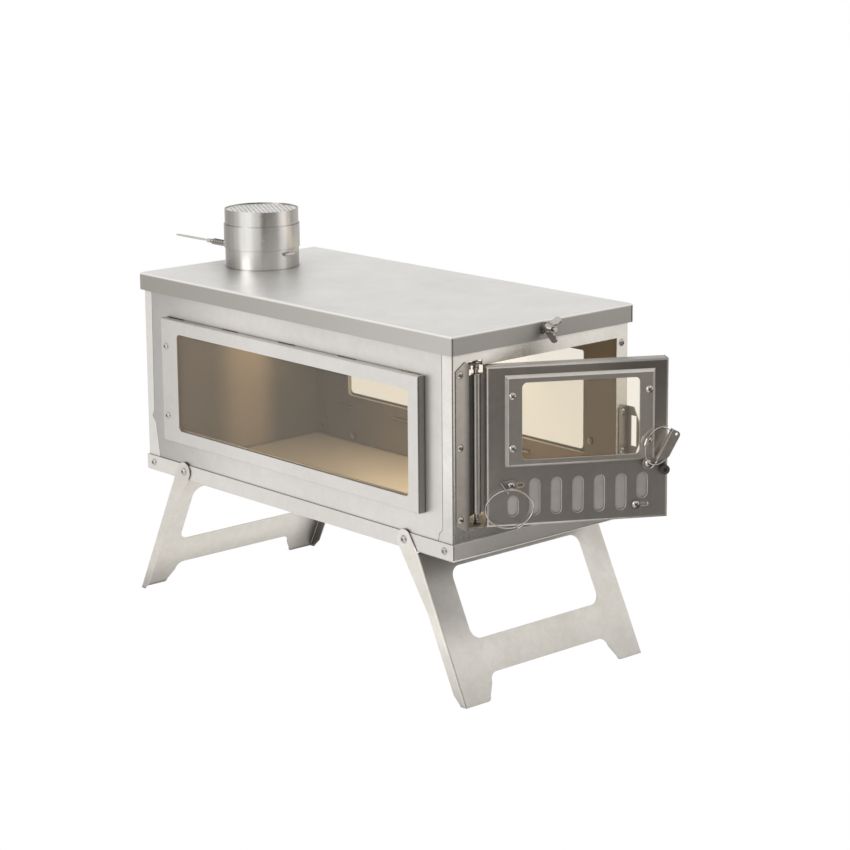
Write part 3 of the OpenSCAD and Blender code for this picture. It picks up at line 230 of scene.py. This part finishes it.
def sheet_metal(name, code, rough, grain_axis=1, grain=0.02, cloud=0.06, warm="#CFC7BA",
                edge=0.35, blotch=0.25, rim="#F1EEE9", rim_amount=0.7, crease=(4.0, 0.45),
                shade=(60.0, 0.75), inside=None, patch=None, fades=()):
    """Rolled sheet: clouds, blotches, fine grain along one axis, painted edge highlights and
    shade.

    edge is the radius in mm of the painted edge highlight. crease and shade are each a reach in
    mm and a tone of painted shade. inside is two colours for the faces within the firebox, and
    patch is a colour of theirs with the bands that bound it: an axis, where it starts, is full,
    last is full and is gone. Each of fades is what fading() takes after the colour.
    """
    material, tree = empty_material(name)
    place = put(tree, "ShaderNodeTexCoord").outputs["Object"]
    # rolling grain is finer than 0.2 mm; it is drawn 0.5 mm wide and 40 mm long so it shows
    stretch = [2000.0, 2000.0, 2000.0]
    stretch[grain_axis] = 25.0
    grain_map = put(tree, "ShaderNodeMapping", {"Scale": stretch}, {"Vector": place})
    lines = put(tree, "ShaderNodeTexNoise", {"Scale": 1.0, "Detail": 2.0, "Roughness": 0.6},
                {"Vector": grain_map.outputs[0]})
    # clouds of handling marks 40 to 60 mm across, and blotches of 4 to 12 mm
    clouds = put(tree, "ShaderNodeTexNoise", {"Scale": 18.0, "Detail": 4.0, "Roughness": 0.62},
                 {"Vector": place})
    spots = put(tree, "ShaderNodeTexNoise", {"Scale": 110.0, "Detail": 5.0, "Roughness": 0.7,
                                             "Distortion": 0.6}, {"Vector": place})
    soft = put(tree, "ShaderNodeMapRange", {"From Min": 0.35, "From Max": 0.7,
                                            "To Min": 0.0, "To Max": 0.45},
               {"Value": clouds.outputs[0]})
    tint = put(tree, "ShaderNodeMix", {"data_type": "RGBA", 6: srgb(code), 7: srgb(warm)},
               {0: soft.outputs[0]})
    dull = put(tree, "ShaderNodeMapRange", {"From Min": 0.3, "From Max": 0.72,
                                            "To Min": 1.0 - blotch, "To Max": 1.0},
               {"Value": spots.outputs[0]})
    mottled = put(tree, "ShaderNodeVectorMath", {"operation": "SCALE"},
                  {0: tint.outputs[2], "Scale": dull.outputs[0]})
    streak = put(tree, "ShaderNodeMapRange", {"To Min": rough - cloud, "To Max": rough + cloud},
                 {"Value": clouds.outputs[0]})
    fine = put(tree, "ShaderNodeMapRange", {"To Min": -grain, "To Max": grain},
               {"Value": lines.outputs[0]})
    total = put(tree, "ShaderNodeMath", {"operation": "ADD"},
                {0: streak.outputs[0], 1: fine.outputs[0]})
    # where the rounded normal leaves the flat one there is an edge, given a painted highlight
    round_edge = put(tree, "ShaderNodeBevel", {"Radius": edge * MM, "samples": 4})
    flat = put(tree, "ShaderNodeNewGeometry")
    turned = put(tree, "ShaderNodeVectorMath", {"operation": "DOT_PRODUCT"},
                 {0: round_edge.outputs[0], 1: flat.outputs["Normal"]})
    painted_highlight = put(tree, "ShaderNodeMapRange", {"From Min": 0.999, "From Max": 0.86,
                                              "To Min": 0.0, "To Max": rim_amount},
                 {"Value": turned.outputs["Value"]})
    highlighted = put(tree, "ShaderNodeMix", {"data_type": "RGBA", 7: srgb(rim)},
               {0: painted_highlight.outputs[0], 6: mottled.outputs[0]}).outputs[2]
    if inside:
        # the inner faces carry the straw and brown haze of a first firing, 80 mm clouds of it
        haze = put(tree, "ShaderNodeTexNoise", {"Scale": 12.0, "Detail": 2.0},
                   {"Vector": place})
        straw = put(tree, "ShaderNodeMix", {"data_type": "RGBA", 6: srgb(inside[0]),
                                            7: srgb(inside[1])}, {0: haze.outputs[0]})
        if patch:
            # the patch is where all its bands are full
            patch_code, *bands = patch
            sides = put(tree, "ShaderNodeSeparateXYZ", {}, {0: place})
            share = None
            for axis, first, full, last, gone in bands:
                for start, end in ((first, full), (gone, last)):
                    step = put(tree, "ShaderNodeMapRange", {
                        "From Min": start, "From Max": end,
                        "interpolation_type": "SMOOTHSTEP"}, {"Value": sides.outputs[axis]})
                    if share:
                        step = put(tree, "ShaderNodeMath", {"operation": "MULTIPLY"},
                                   {0: step.outputs[0], 1: share})
                    share = step.outputs[0]
            straw = put(tree, "ShaderNodeMix", {"data_type": "RGBA", 7: srgb(patch_code)},
                        {0: share, 6: straw.outputs[2]})
        within = firebox_inside(tree)
        highlighted = put(tree, "ShaderNodeMix", {"data_type": "RGBA"},
                   {0: within, 6: highlighted, 7: straw.outputs[2]}).outputs[2]
    # painted shade in close creases and wider hollows, then the fades' painted shade and light
    shaded_colour = paint_hollow_shade(tree, paint_hollow_shade(tree, highlighted, *crease), *shade)
    for fade in fades:
        shaded_colour = fading(tree, shaded_colour, *fade)
    bump = put(tree, "ShaderNodeBump", {"Strength": 0.06, "Distance": 0.0002},
               {"Height": lines.outputs[0], "Normal": round_edge.outputs[0]})
    shader = put(tree, "ShaderNodeBsdfPrincipled", {"Metallic": 1.0},
                 {"Base Color": shaded_colour, "Roughness": total.outputs[0],
                  "Normal": bump.outputs[0]})
    if inside:
        # the haze is an oxide, so the metal shows through it only in part
        bare = put(tree, "ShaderNodeMapRange", {"To Min": 1.0, "To Max": 0.35},
                   {"Value": within})
        tree.links.new(bare.outputs[0], shader.inputs["Metallic"])
    put(tree, "ShaderNodeOutputMaterial", {}, {"Surface": shader.outputs[0]})
    return material


def finish_nodes(material, *nodes):
    """Give CAD nodes one material."""
    for node in nodes:
        piece = bpy.data.objects[node]
        piece.data.materials.clear()
        piece.data.materials.append(material)


UPRIGHT_HAZE = ("#6E604E", "#877863")
# painted shade darkens the sides towards the rear and under the lid, and their haze is
# paler by the door
finish_nodes(
    sheet_metal("rolled stainless sides", "#E0DDD9", 0.40, warm="#D6D1C9", blotch=0.07,
                crease=(2.0, 0.15), shade=(25.0, 0.9), inside=UPRIGHT_HAZE,
                patch=("#84745D", ("Y", -0.30, -0.29, -0.16, -0.09)),
                fades=(("Y", REAR_END, 0.06, 0.60), ("Z", LID_LEVEL, 0.275, 0.86))),
    "left_side_panel", "right_side_panel")
# the rear sheet is brown inside, with one paler upright band of painted light
finish_nodes(
    sheet_metal("rolled stainless rear", "#E0DDD9", 0.36, warm="#D6D1C9", blotch=0.07,
                inside=("#50442F", "#695A45"),
                patch=("#A6947A", ("X", -0.03, 0.012, 0.025, 0.058))), "rear_panel")
# the tray is cream inside with a grey painted shadow over its corner by the hinge, and painted
# light brightens its front face
finish_nodes(
    sheet_metal("rolled stainless tray", "#DFDBD6", 0.34, warm="#D5D0C8", blotch=0.07,
                shade=(60.0, 0.95), inside=("#D6C8B0", "#E8DBC4"),
                patch=("#5E574C", ("X", -0.12, -0.11, 0.010, 0.030),
                       ("Y", -0.23, -0.22, -0.130, -0.114)),
                fades=(("Y", TRAY_FRONT, TRAY_FRONT + 0.8 * MM, 1.34),)), "base_tray")
# the front sheet has its grain across, and painted shade darkens it towards the tray
finish_nodes(
    sheet_metal("rolled stainless front", "#F0EDE8", 0.27, grain_axis=0, warm="#E2DDD5",
                blotch=0.10, inside=UPRIGHT_HAZE, shade=(60.0, 0.95),
                fades=(("Z", 0.130, 0.200, 0.80),)), "front_panel")

# ---- Side windows ----
# A shallow folded box frame holds heat-proof glass ceramic 4 mm thick on a woven rope seal.
# The frame is the same satin sheet; the glass is clear with a faint amber cast.
WINDOW_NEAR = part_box("left_window_frame")[0][1]
# painted shade darkens the frame towards the rear and on its end face by the door
finish_nodes(
    sheet_metal("folded stainless window frame", "#DEDBD7", 0.32, warm="#D4D0C9",
                blotch=0.06, rim="#F7F5F1", crease=(1.6, 0.4), shade=(25.0, 0.9),
                fades=(("Y", REAR_END, 0.03, 0.78),
                       ("Y", WINDOW_NEAR + 0.1 * MM, WINDOW_NEAR + 0.9 * MM, 0.55))),
    "left_window_frame", "right_window_frame")


def oven_glass(name, code, veil):
    """Thin clear glass ceramic: sharp reflections over a light tint.

    veil is the share of the surface that looks glossy even when it is seen square on.
    """
    material, tree = empty_material(name)
    place = put(tree, "ShaderNodeTexCoord").outputs["Object"]
    # wiping marks about 45 mm long
    marks = put(tree, "ShaderNodeTexNoise", {"Scale": 22.0, "Detail": 5.0, "Roughness": 0.7},
                {"Vector": place})
    haze = put(tree, "ShaderNodeMapRange", {"From Min": 0.4, "From Max": 0.75, "To Min": 0.02,
                                            "To Max": 0.07}, {"Value": marks.outputs[0]})
    clear = put(tree, "ShaderNodeBsdfTransparent", {"Color": srgb(code)})
    gloss = put(tree, "ShaderNodeBsdfPrincipled", {"Base Color": srgb("#F4ECDD"), "IOR": 1.54},
                {"Roughness": haze.outputs[0]})
    # only the outer side of each face reflects, so light passes out of the pane freely
    bend = put(tree, "ShaderNodeFresnel", {"IOR": 1.5})
    side = put(tree, "ShaderNodeNewGeometry")
    outer = put(tree, "ShaderNodeMath", {"operation": "SUBTRACT", 0: 1.0},
                {1: side.outputs["Backfacing"]})
    shine = put(tree, "ShaderNodeMath", {"operation": "MULTIPLY"},
                {0: bend.outputs[0], 1: outer.outputs[0]})
    amount = put(tree, "ShaderNodeMath",
                 {"operation": "MULTIPLY_ADD", 1: 1.0 - veil, 2: veil}, {0: shine.outputs[0]})
    mixed = put(tree, "ShaderNodeMixShader", {}, {0: amount.outputs[0], 1: clear.outputs[0],
                                                  2: gloss.outputs[0]})
    put(tree, "ShaderNodeOutputMaterial", {}, {"Surface": mixed.outputs[0]})
    return material


pane = oven_glass("amber glass ceramic", "#F9F6F0", 0.03)
finish_nodes(pane, "left_window_glass", "right_window_glass")


def rope_seal(name, code):
    """Woven glass rope: matt grey-brown with a fine weave."""
    material, tree = empty_material(name)
    place = put(tree, "ShaderNodeTexCoord").outputs["Object"]
    # strands of the weave are about 2 mm wide
    weave = put(tree, "ShaderNodeTexWave",
                {"wave_type": "BANDS", "bands_direction": "DIAGONAL", "Scale": 160.0,
                 "Distortion": 1.0}, {"Vector": place})
    ramp = put(tree, "ShaderNodeMix", {"data_type": "RGBA", 6: srgb(code), 7: srgb("#A59D8E")},
               {0: weave.outputs[1]})
    bump = put(tree, "ShaderNodeBump", {"Strength": 0.4, "Distance": 0.0003},
               {"Height": weave.outputs[1]})
    shader = put(tree, "ShaderNodeBsdfPrincipled", {"Roughness": 0.95},
                 {"Base Color": ramp.outputs[2], "Normal": bump.outputs[0]})
    put(tree, "ShaderNodeOutputMaterial", {}, {"Surface": shader.outputs[0]})
    return material


finish_nodes(rope_seal("woven glass rope", "#7C7467"), "left_window_gasket",
             "right_window_gasket")

# ---- Screws, pins and nuts ----
# Pan head screws of stainless steel, cold formed and polished in bulk: bright, with soft
# dents, and painted shade in the recess and round the head.


def bright_steel(name, code, rough):
    """Tumbled fastener steel: bright with a fine uneven surface."""
    material, tree = empty_material(name)
    place = put(tree, "ShaderNodeTexCoord").outputs["Object"]
    # dents from tumbling are about 0.7 mm across
    dents = put(tree, "ShaderNodeTexNoise", {"Scale": 1400.0, "Detail": 3.0}, {"Vector": place})
    spread = put(tree, "ShaderNodeMapRange", {"To Min": rough - 0.06, "To Max": rough + 0.08},
                 {"Value": dents.outputs[0]})
    shade = put(tree, "ShaderNodeMix", {"data_type": "RGBA", 6: srgb(code), 7: srgb("#9F9A92")},
                {0: dents.outputs[0]})
    round_edge = put(tree, "ShaderNodeBevel", {"Radius": 0.25 * MM, "samples": 4})
    bump = put(tree, "ShaderNodeBump", {"Strength": 0.15, "Distance": 0.0001},
               {"Height": dents.outputs[0], "Normal": round_edge.outputs[0]})
    # painted shade in the recess and where the head meets the sheet
    shaded_colour = paint_hollow_shade(tree, shade.outputs[2], 2.0, 0.04)
    shader = put(tree, "ShaderNodeBsdfPrincipled", {"Metallic": 1.0},
                 {"Base Color": shaded_colour, "Roughness": spread.outputs[0],
                  "Normal": bump.outputs[0]})
    put(tree, "ShaderNodeOutputMaterial", {}, {"Surface": shader.outputs[0]})
    return material


finish_nodes(
    bright_steel("tumbled stainless screws", "#DAD6D0", 0.18),
    "window_screws", "tray_screws", "leg_pivot_screws", "hinge_bracket_screws", "hinge_pins",
    "front_post_screw", "latch_strike_screws", "door_frame_screws", "latch_pivot_screw",
    "slider_screws", "lid_stud", "wing_nut")

# ---- Hinge bracket and latch strike ----
# Both are folded from the same sheet as the firebox, their edges lit by a painted highlight.
# The bracket is screwed on left of the door and the strike right of it.

# the bracket's ears and skirt are in deep shade, its fixing face is not
finish_nodes(
    sheet_metal("folded stainless bracket", "#D0CAC2", 0.42, grain_axis=2, blotch=0.15,
                fades=(("X", -0.0835, -0.0930, 0.3),)), "hinge_bracket")
finish_nodes(sheet_metal("folded stainless strike", "#B9B1A5", 0.36, grain_axis=2, blotch=0.15),
             "latch_strike")

# ---- Lid ----
# One large folded tray of steel sheet, upside down over the box and held by a wing nut. Its
# top is blasted to an even matt grey and its turned-down edge is darker, with painted shade
# towards the rear, on its front face and in its corners; the fold between them carries a
# painted highlight.
LID_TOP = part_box("lid")[1][2]
LID_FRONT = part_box("lid")[0][1]


def turned_down_edge(material):
    """Give a blasted sheet the darker edge of the lid, painted shade and a painted fold
    highlight.
    """
    tree = material.node_tree
    shader = tree.nodes["Principled BSDF"]
    blasted = shader.inputs["Base Color"].links[0].from_socket
    place = put(tree, "ShaderNodeSeparateXYZ", {},
                {0: put(tree, "ShaderNodeTexCoord").outputs["Object"]})
    below = put(tree, "ShaderNodeMapRange", {"From Min": LID_TOP - 1.6 * MM,
                                             "From Max": LID_TOP - 0.4 * MM,
                                             "To Min": 1.0, "To Max": 0.0},
                {"Value": place.outputs["Z"]})
    along = put(tree, "ShaderNodeMapRange", {"From Min": 0.2, "From Max": -0.2},
                {"Value": place.outputs["Y"]})
    # painted shade: the edge darkens towards the rear, in its corners and on its front face
    rolled = put(tree, "ShaderNodeMix", {"data_type": "RGBA", 6: srgb("#9F9B95"),
                                         7: srgb("#BFBBB6")}, {0: along.outputs[0]})
    edge = fading(tree, paint_hollow_shade(tree, rolled.outputs[2], 4.0, 0.5),
                  "Y", LID_FRONT + 0.1 * MM, LID_FRONT + 1.0 * MM, 0.78)
    both = put(tree, "ShaderNodeMix", {"data_type": "RGBA"},
               {0: below.outputs[0], 6: blasted, 7: edge})
    # the painted highlight on the fold is full from 1.3 to 0.5 mm under the top
    rising = put(tree, "ShaderNodeMapRange", {"From Min": LID_TOP - 2.6 * MM,
                                              "From Max": LID_TOP - 1.3 * MM},
                 {"Value": place.outputs["Z"]})
    falling = put(tree, "ShaderNodeMapRange", {"From Min": LID_TOP - 0.15 * MM,
                                               "From Max": LID_TOP - 0.5 * MM},
                  {"Value": place.outputs["Z"]})
    fold = put(tree, "ShaderNodeMath", {"operation": "MULTIPLY"},
               {0: rising.outputs[0], 1: falling.outputs[0]})
    painted_highlight = put(tree, "ShaderNodeMix", {"data_type": "RGBA", 7: srgb("#EDEAE6")},
                 {0: fold.outputs[0], 6: both.outputs[2]})
    tree.links.new(painted_highlight.outputs[2], shader.inputs["Base Color"])


lid_sheet = sheet_metal("blasted stainless lid", "#E4E3E0", 0.42, cloud=0.03, warm="#D2D0CD",
                        blotch=0.03)
turned_down_edge(lid_sheet)
finish_nodes(lid_sheet, "lid")

# ---- Flue ----
# Collar, sleeve and cap are rolled from thin stainless sheet and polished round and round;
# their upright bands of light and dark are painted reflections. Their bores are painted dark
# below the mesh.
FLUE_AXIS = (0, 165 * MM, 0)
collar_low, collar_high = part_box("flue_collar")
FLUE_BORE = (collar_high[0] - collar_low[0]) / 2 - 1.0 * MM
MESH_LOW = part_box("spark_mesh")[0][2]


def rolled_flue(name, bands, rough):
    """Polished tube: upright bands of painted reflection, with fine turning lines round it.

    bands are greys, each with its place round the tube from 0 to 1.
    """
    material, tree = empty_material(name)
    place = put(tree, "ShaderNodeTexCoord").outputs["Object"]
    axis = put(tree, "ShaderNodeVectorMath", {"operation": "SUBTRACT", 1: FLUE_AXIS},
               {0: place})
    split = put(tree, "ShaderNodeSeparateXYZ", {}, {0: axis.outputs[0]})
    angle = put(tree, "ShaderNodeMath", {"operation": "ARCTAN2"},
                {0: split.outputs["Y"], 1: split.outputs["X"]})
    # painted reflection bands are 10 to 30 mm wide round the tube and run its whole height
    share = put(tree, "ShaderNodeMapRange", {"From Min": -math.pi, "From Max": math.pi},
                {"Value": angle.outputs[0]})
    band = put(tree, "ShaderNodeValToRGB", {}, {0: share.outputs[0]})
    band.color_ramp.interpolation = "EASE"
    while len(band.color_ramp.elements) < len(bands):
        band.color_ramp.elements.new(0.5)
    for stop, (place_round, grey) in zip(band.color_ramp.elements, bands):
        stop.position, stop.color = place_round, srgb(grey)
    # fine polishing streaks 2 to 4 mm wide lie over the bands, with their painted highlights
    strip = put(tree, "ShaderNodeCombineXYZ", {}, {"X": angle.outputs[0]})
    streaks = put(tree, "ShaderNodeTexNoise", {"Scale": 16.0, "Detail": 3.0},
                  {"Vector": strip.outputs[0]})
    faint = put(tree, "ShaderNodeMapRange", {"To Min": 0.90, "To Max": 1.06},
                {"Value": streaks.outputs[0]})
    tint = put(tree, "ShaderNodeVectorMath", {"operation": "SCALE"},
               {0: band.outputs[0], "Scale": faint.outputs[0]})
    # the bore of the tube is painted dark up to the mesh
    out = put(tree, "ShaderNodeVectorMath", {"operation": "LENGTH"},
              {0: put(tree, "ShaderNodeCombineXYZ", {},
                      {"X": split.outputs["X"], "Y": split.outputs["Y"]}).outputs[0]})
    within = put(tree, "ShaderNodeMath", {"operation": "LESS_THAN", 1: FLUE_BORE + 0.4 * MM},
                 {0: out.outputs["Value"]})
    under = put(tree, "ShaderNodeMath", {"operation": "LESS_THAN", 1: MESH_LOW},
                {0: split.outputs["Z"]})
    bore = put(tree, "ShaderNodeMath", {"operation": "MULTIPLY"},
               {0: within.outputs[0], 1: under.outputs[0]})
    dark_bore = put(tree, "ShaderNodeMix", {"data_type": "RGBA", 7: srgb("#3A3632")},
                 {0: bore.outputs[0], 6: tint.outputs[0]})
    # painted shade where the lid and other parts stand close
    shaded_colour = paint_hollow_shade(tree, dark_bore.outputs[2], 2.0, 0.5)
    # turning lines 0.4 mm apart
    turning = put(tree, "ShaderNodeMapping", {"Scale": (60.0, 60.0, 2500.0)},
                  {"Vector": place})
    lines = put(tree, "ShaderNodeTexNoise", {"Scale": 1.0, "Detail": 2.0},
                {"Vector": turning.outputs[0]})
    spread = put(tree, "ShaderNodeMapRange", {"To Min": rough - 0.05, "To Max": rough + 0.07},
                 {"Value": lines.outputs[0]})
    round_edge = put(tree, "ShaderNodeBevel", {"Radius": 0.4 * MM, "samples": 4})
    bump = put(tree, "ShaderNodeBump", {"Strength": 0.10, "Distance": 0.0002},
               {"Height": lines.outputs[0], "Normal": round_edge.outputs[0]})
    shader = put(tree, "ShaderNodeBsdfPrincipled", {"Metallic": 1.0},
                 {"Base Color": shaded_colour, "Roughness": spread.outputs[0],
                  "Normal": bump.outputs[0]})
    put(tree, "ShaderNodeOutputMaterial", {}, {"Surface": shader.outputs[0]})
    return material


reflection_bands = (
    (0.0, "#9C9995"), (0.030, "#B8B5B0"), (0.058, "#DEDCD8"), (0.092, "#E8E6E2"),
    (0.122, "#CDCAC5"), (0.165, "#DCD9D4"), (0.205, "#E6E4E0"), (0.242, "#E8E6E2"),
    (0.268, "#B9B6B1"), (0.300, "#A3A09B"), (0.390, "#8F8C87"), (0.460, "#D8D5D0"),
    (0.530, "#A8A5A0"), (0.610, "#DCDAD6"), (0.710, "#9C9994"), (0.790, "#D6D4CF"),
    (0.890, "#B3B0AB"), (0.965, "#8A8782"), (1.0, "#9C9995"))
finish_nodes(rolled_flue("polished stainless flue", reflection_bands, 0.24), "flue_collar",
             "flue_sleeve", "spark_cap_ring")
finish_nodes(
    sheet_metal("punched stainless mesh", "#E6E4DF", 0.34, warm="#D9D5CE", blotch=0.1,
                edge=0.2, crease=(1.6, 0.02), shade=(8.0, 0.9)), "spark_mesh")

# ---- Damper ----
# A 3 mm steel rod across the collar turns the round plate inside it. Its grip is a coil of
# wire on the rod's rear end, and a ferrule there holds a long pointed wire loop.
finish_nodes(bright_steel("drawn rod steel", "#E6E2DC", 0.16), "damper_axle")
finish_nodes(bright_steel("dulled spring wire", "#A39E98", 0.16), "damper_spring")
finish_nodes(bright_steel("drawn loop wire", "#E4E1DC", 0.12), "damper_loop")
finish_nodes(sheet_metal("rolled damper plate", "#B5AFA5", 0.42), "damper_plate")

# ---- Door ----
# A folded pan of brushed stainless steel, with the hinge barrel rolled from its edge and
# seven air slots that a plate behind them shuts. A raised glass frame, its edge bevelled
# and lit by a painted highlight, is screwed on over the pane.
FRAME_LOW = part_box("door_glass_frame")[0][2]
# painted shade darkens the pan towards its latch side, most of all high up, and along its
# foot; its edges carry a painted highlight
finish_nodes(
    sheet_metal("brushed stainless door", "#D0CBC5", 0.34, grain_axis=2, grain=0.06,
                warm="#C7C0B6", blotch=0.10, edge=0.9, rim="#FFFDFA", rim_amount=1.0,
                crease=(2.5, 0.45), shade=(30.0, 0.9),
                fades=(("X", 0.046, -0.010, 0.55, ("Z", 0.29, 0.19)),
                       ("Z", 0.135, 0.175, 0.88), ("X", 0.090, 0.060, 0.93))), "door_pan")
finish_nodes(
    sheet_metal("brushed stainless slider", "#F8F4EE", 0.42, grain_axis=2, grain=0.05,
                warm="#E8E1D7", blotch=0.08, crease=(2.0, 0.7), shade=(10.0, 0.95)),
    "air_slider")
# painted shade darkens the lowest 3 mm of the glass frame
finish_nodes(
    sheet_metal("brushed stainless glass frame", "#F0ECE6", 0.32, grain_axis=2, grain=0.06,
                warm="#E6E0D7", blotch=0.10, edge=0.6, rim="#F4F1EC", rim_amount=0.8,
                crease=(2.5, 0.45), shade=(30.0, 0.9),
                fades=(("Z", FRAME_LOW + 0.5 * MM, FRAME_LOW + 3.0 * MM, 0.62),)),
    "door_glass_frame")
finish_nodes(pane, "door_glass")


def stop_rubber(name, code):
    """Moulded rubber: dark, matt, finely grained."""
    material, tree = empty_material(name)
    place = put(tree, "ShaderNodeTexCoord").outputs["Object"]
    # the moulded grain is about 0.6 mm
    grit = put(tree, "ShaderNodeTexNoise", {"Scale": 1800.0, "Detail": 3.0}, {"Vector": place})
    shade = put(tree, "ShaderNodeMix", {"data_type": "RGBA", 6: srgb(code), 7: srgb("#4A4641")},
                {0: grit.outputs[0]})
    bump = put(tree, "ShaderNodeBump", {"Strength": 0.3, "Distance": 0.0001},
               {"Height": grit.outputs[0]})
    shader = put(tree, "ShaderNodeBsdfPrincipled", {"Roughness": 0.6},
                 {"Base Color": shade.outputs[2], "Normal": bump.outputs[0]})
    put(tree, "ShaderNodeOutputMaterial", {}, {"Surface": shader.outputs[0]})
    return material


finish_nodes(stop_rubber("moulded stop rubber", "#2B2825"), "latch_stop")

# ---- Slider tab, rings and latch ----
# The tab and the lever are folded from sheet, their edges lit by a painted highlight. The pull
# rings are bent from wire lightened as a painted highlight, and a crimped clasp closes each
# of them.
finish_nodes(
    sheet_metal("folded stainless lever", "#E2DDD5", 0.34, grain_axis=2, edge=0.5,
                rim="#FFFDFA", rim_amount=1.0, crease=(3.0, 0.3)),
    "latch_lever", "slider_tab")
finish_nodes(bright_steel("drawn ring wire", "#F0ECE6", 0.12), "slider_ring",
             "slider_ring_clasp", "latch_ring", "latch_ring_clasp")

# ---- Legs ----
# Two frames folded from the same sheet as the firebox, their openings cut by laser. Each turns
# on two screws through the sides of the tray, and painted shade darkens both near the ground.
leg_finish = dict(grain_axis=0, warm="#D8D1C5", blotch=0.12, crease=(4.0, 0.5),
                  shade=(40.0, 0.75))
# the front frame is in shade high up at both sides, but for its left flange's outer face
finish_nodes(
    sheet_metal("folded stainless front leg", "#E6E2DB", 0.38, **leg_finish,
                fades=(("X", -0.100, -0.030, 0.55, ("Z", 0.078, 0.036)),
                       ("X", -0.1051, -0.1047, 1.9, ("Z", 0.078, 0.036)),
                       ("Z", 0.000, 0.045, 0.84),
                       ("X", 0.1035, 0.075, 0.84, ("Z", 0.10, 0.06)))), "front_leg")
# painted shade darkens the rear frame towards its right side
finish_nodes(
    sheet_metal("folded stainless rear leg", "#DCD7CF", 0.38, **leg_finish,
                fades=(("X", 0.1042, 0.070, 0.50), ("Z", 0.000, 0.035, 0.74))), "rear_leg")
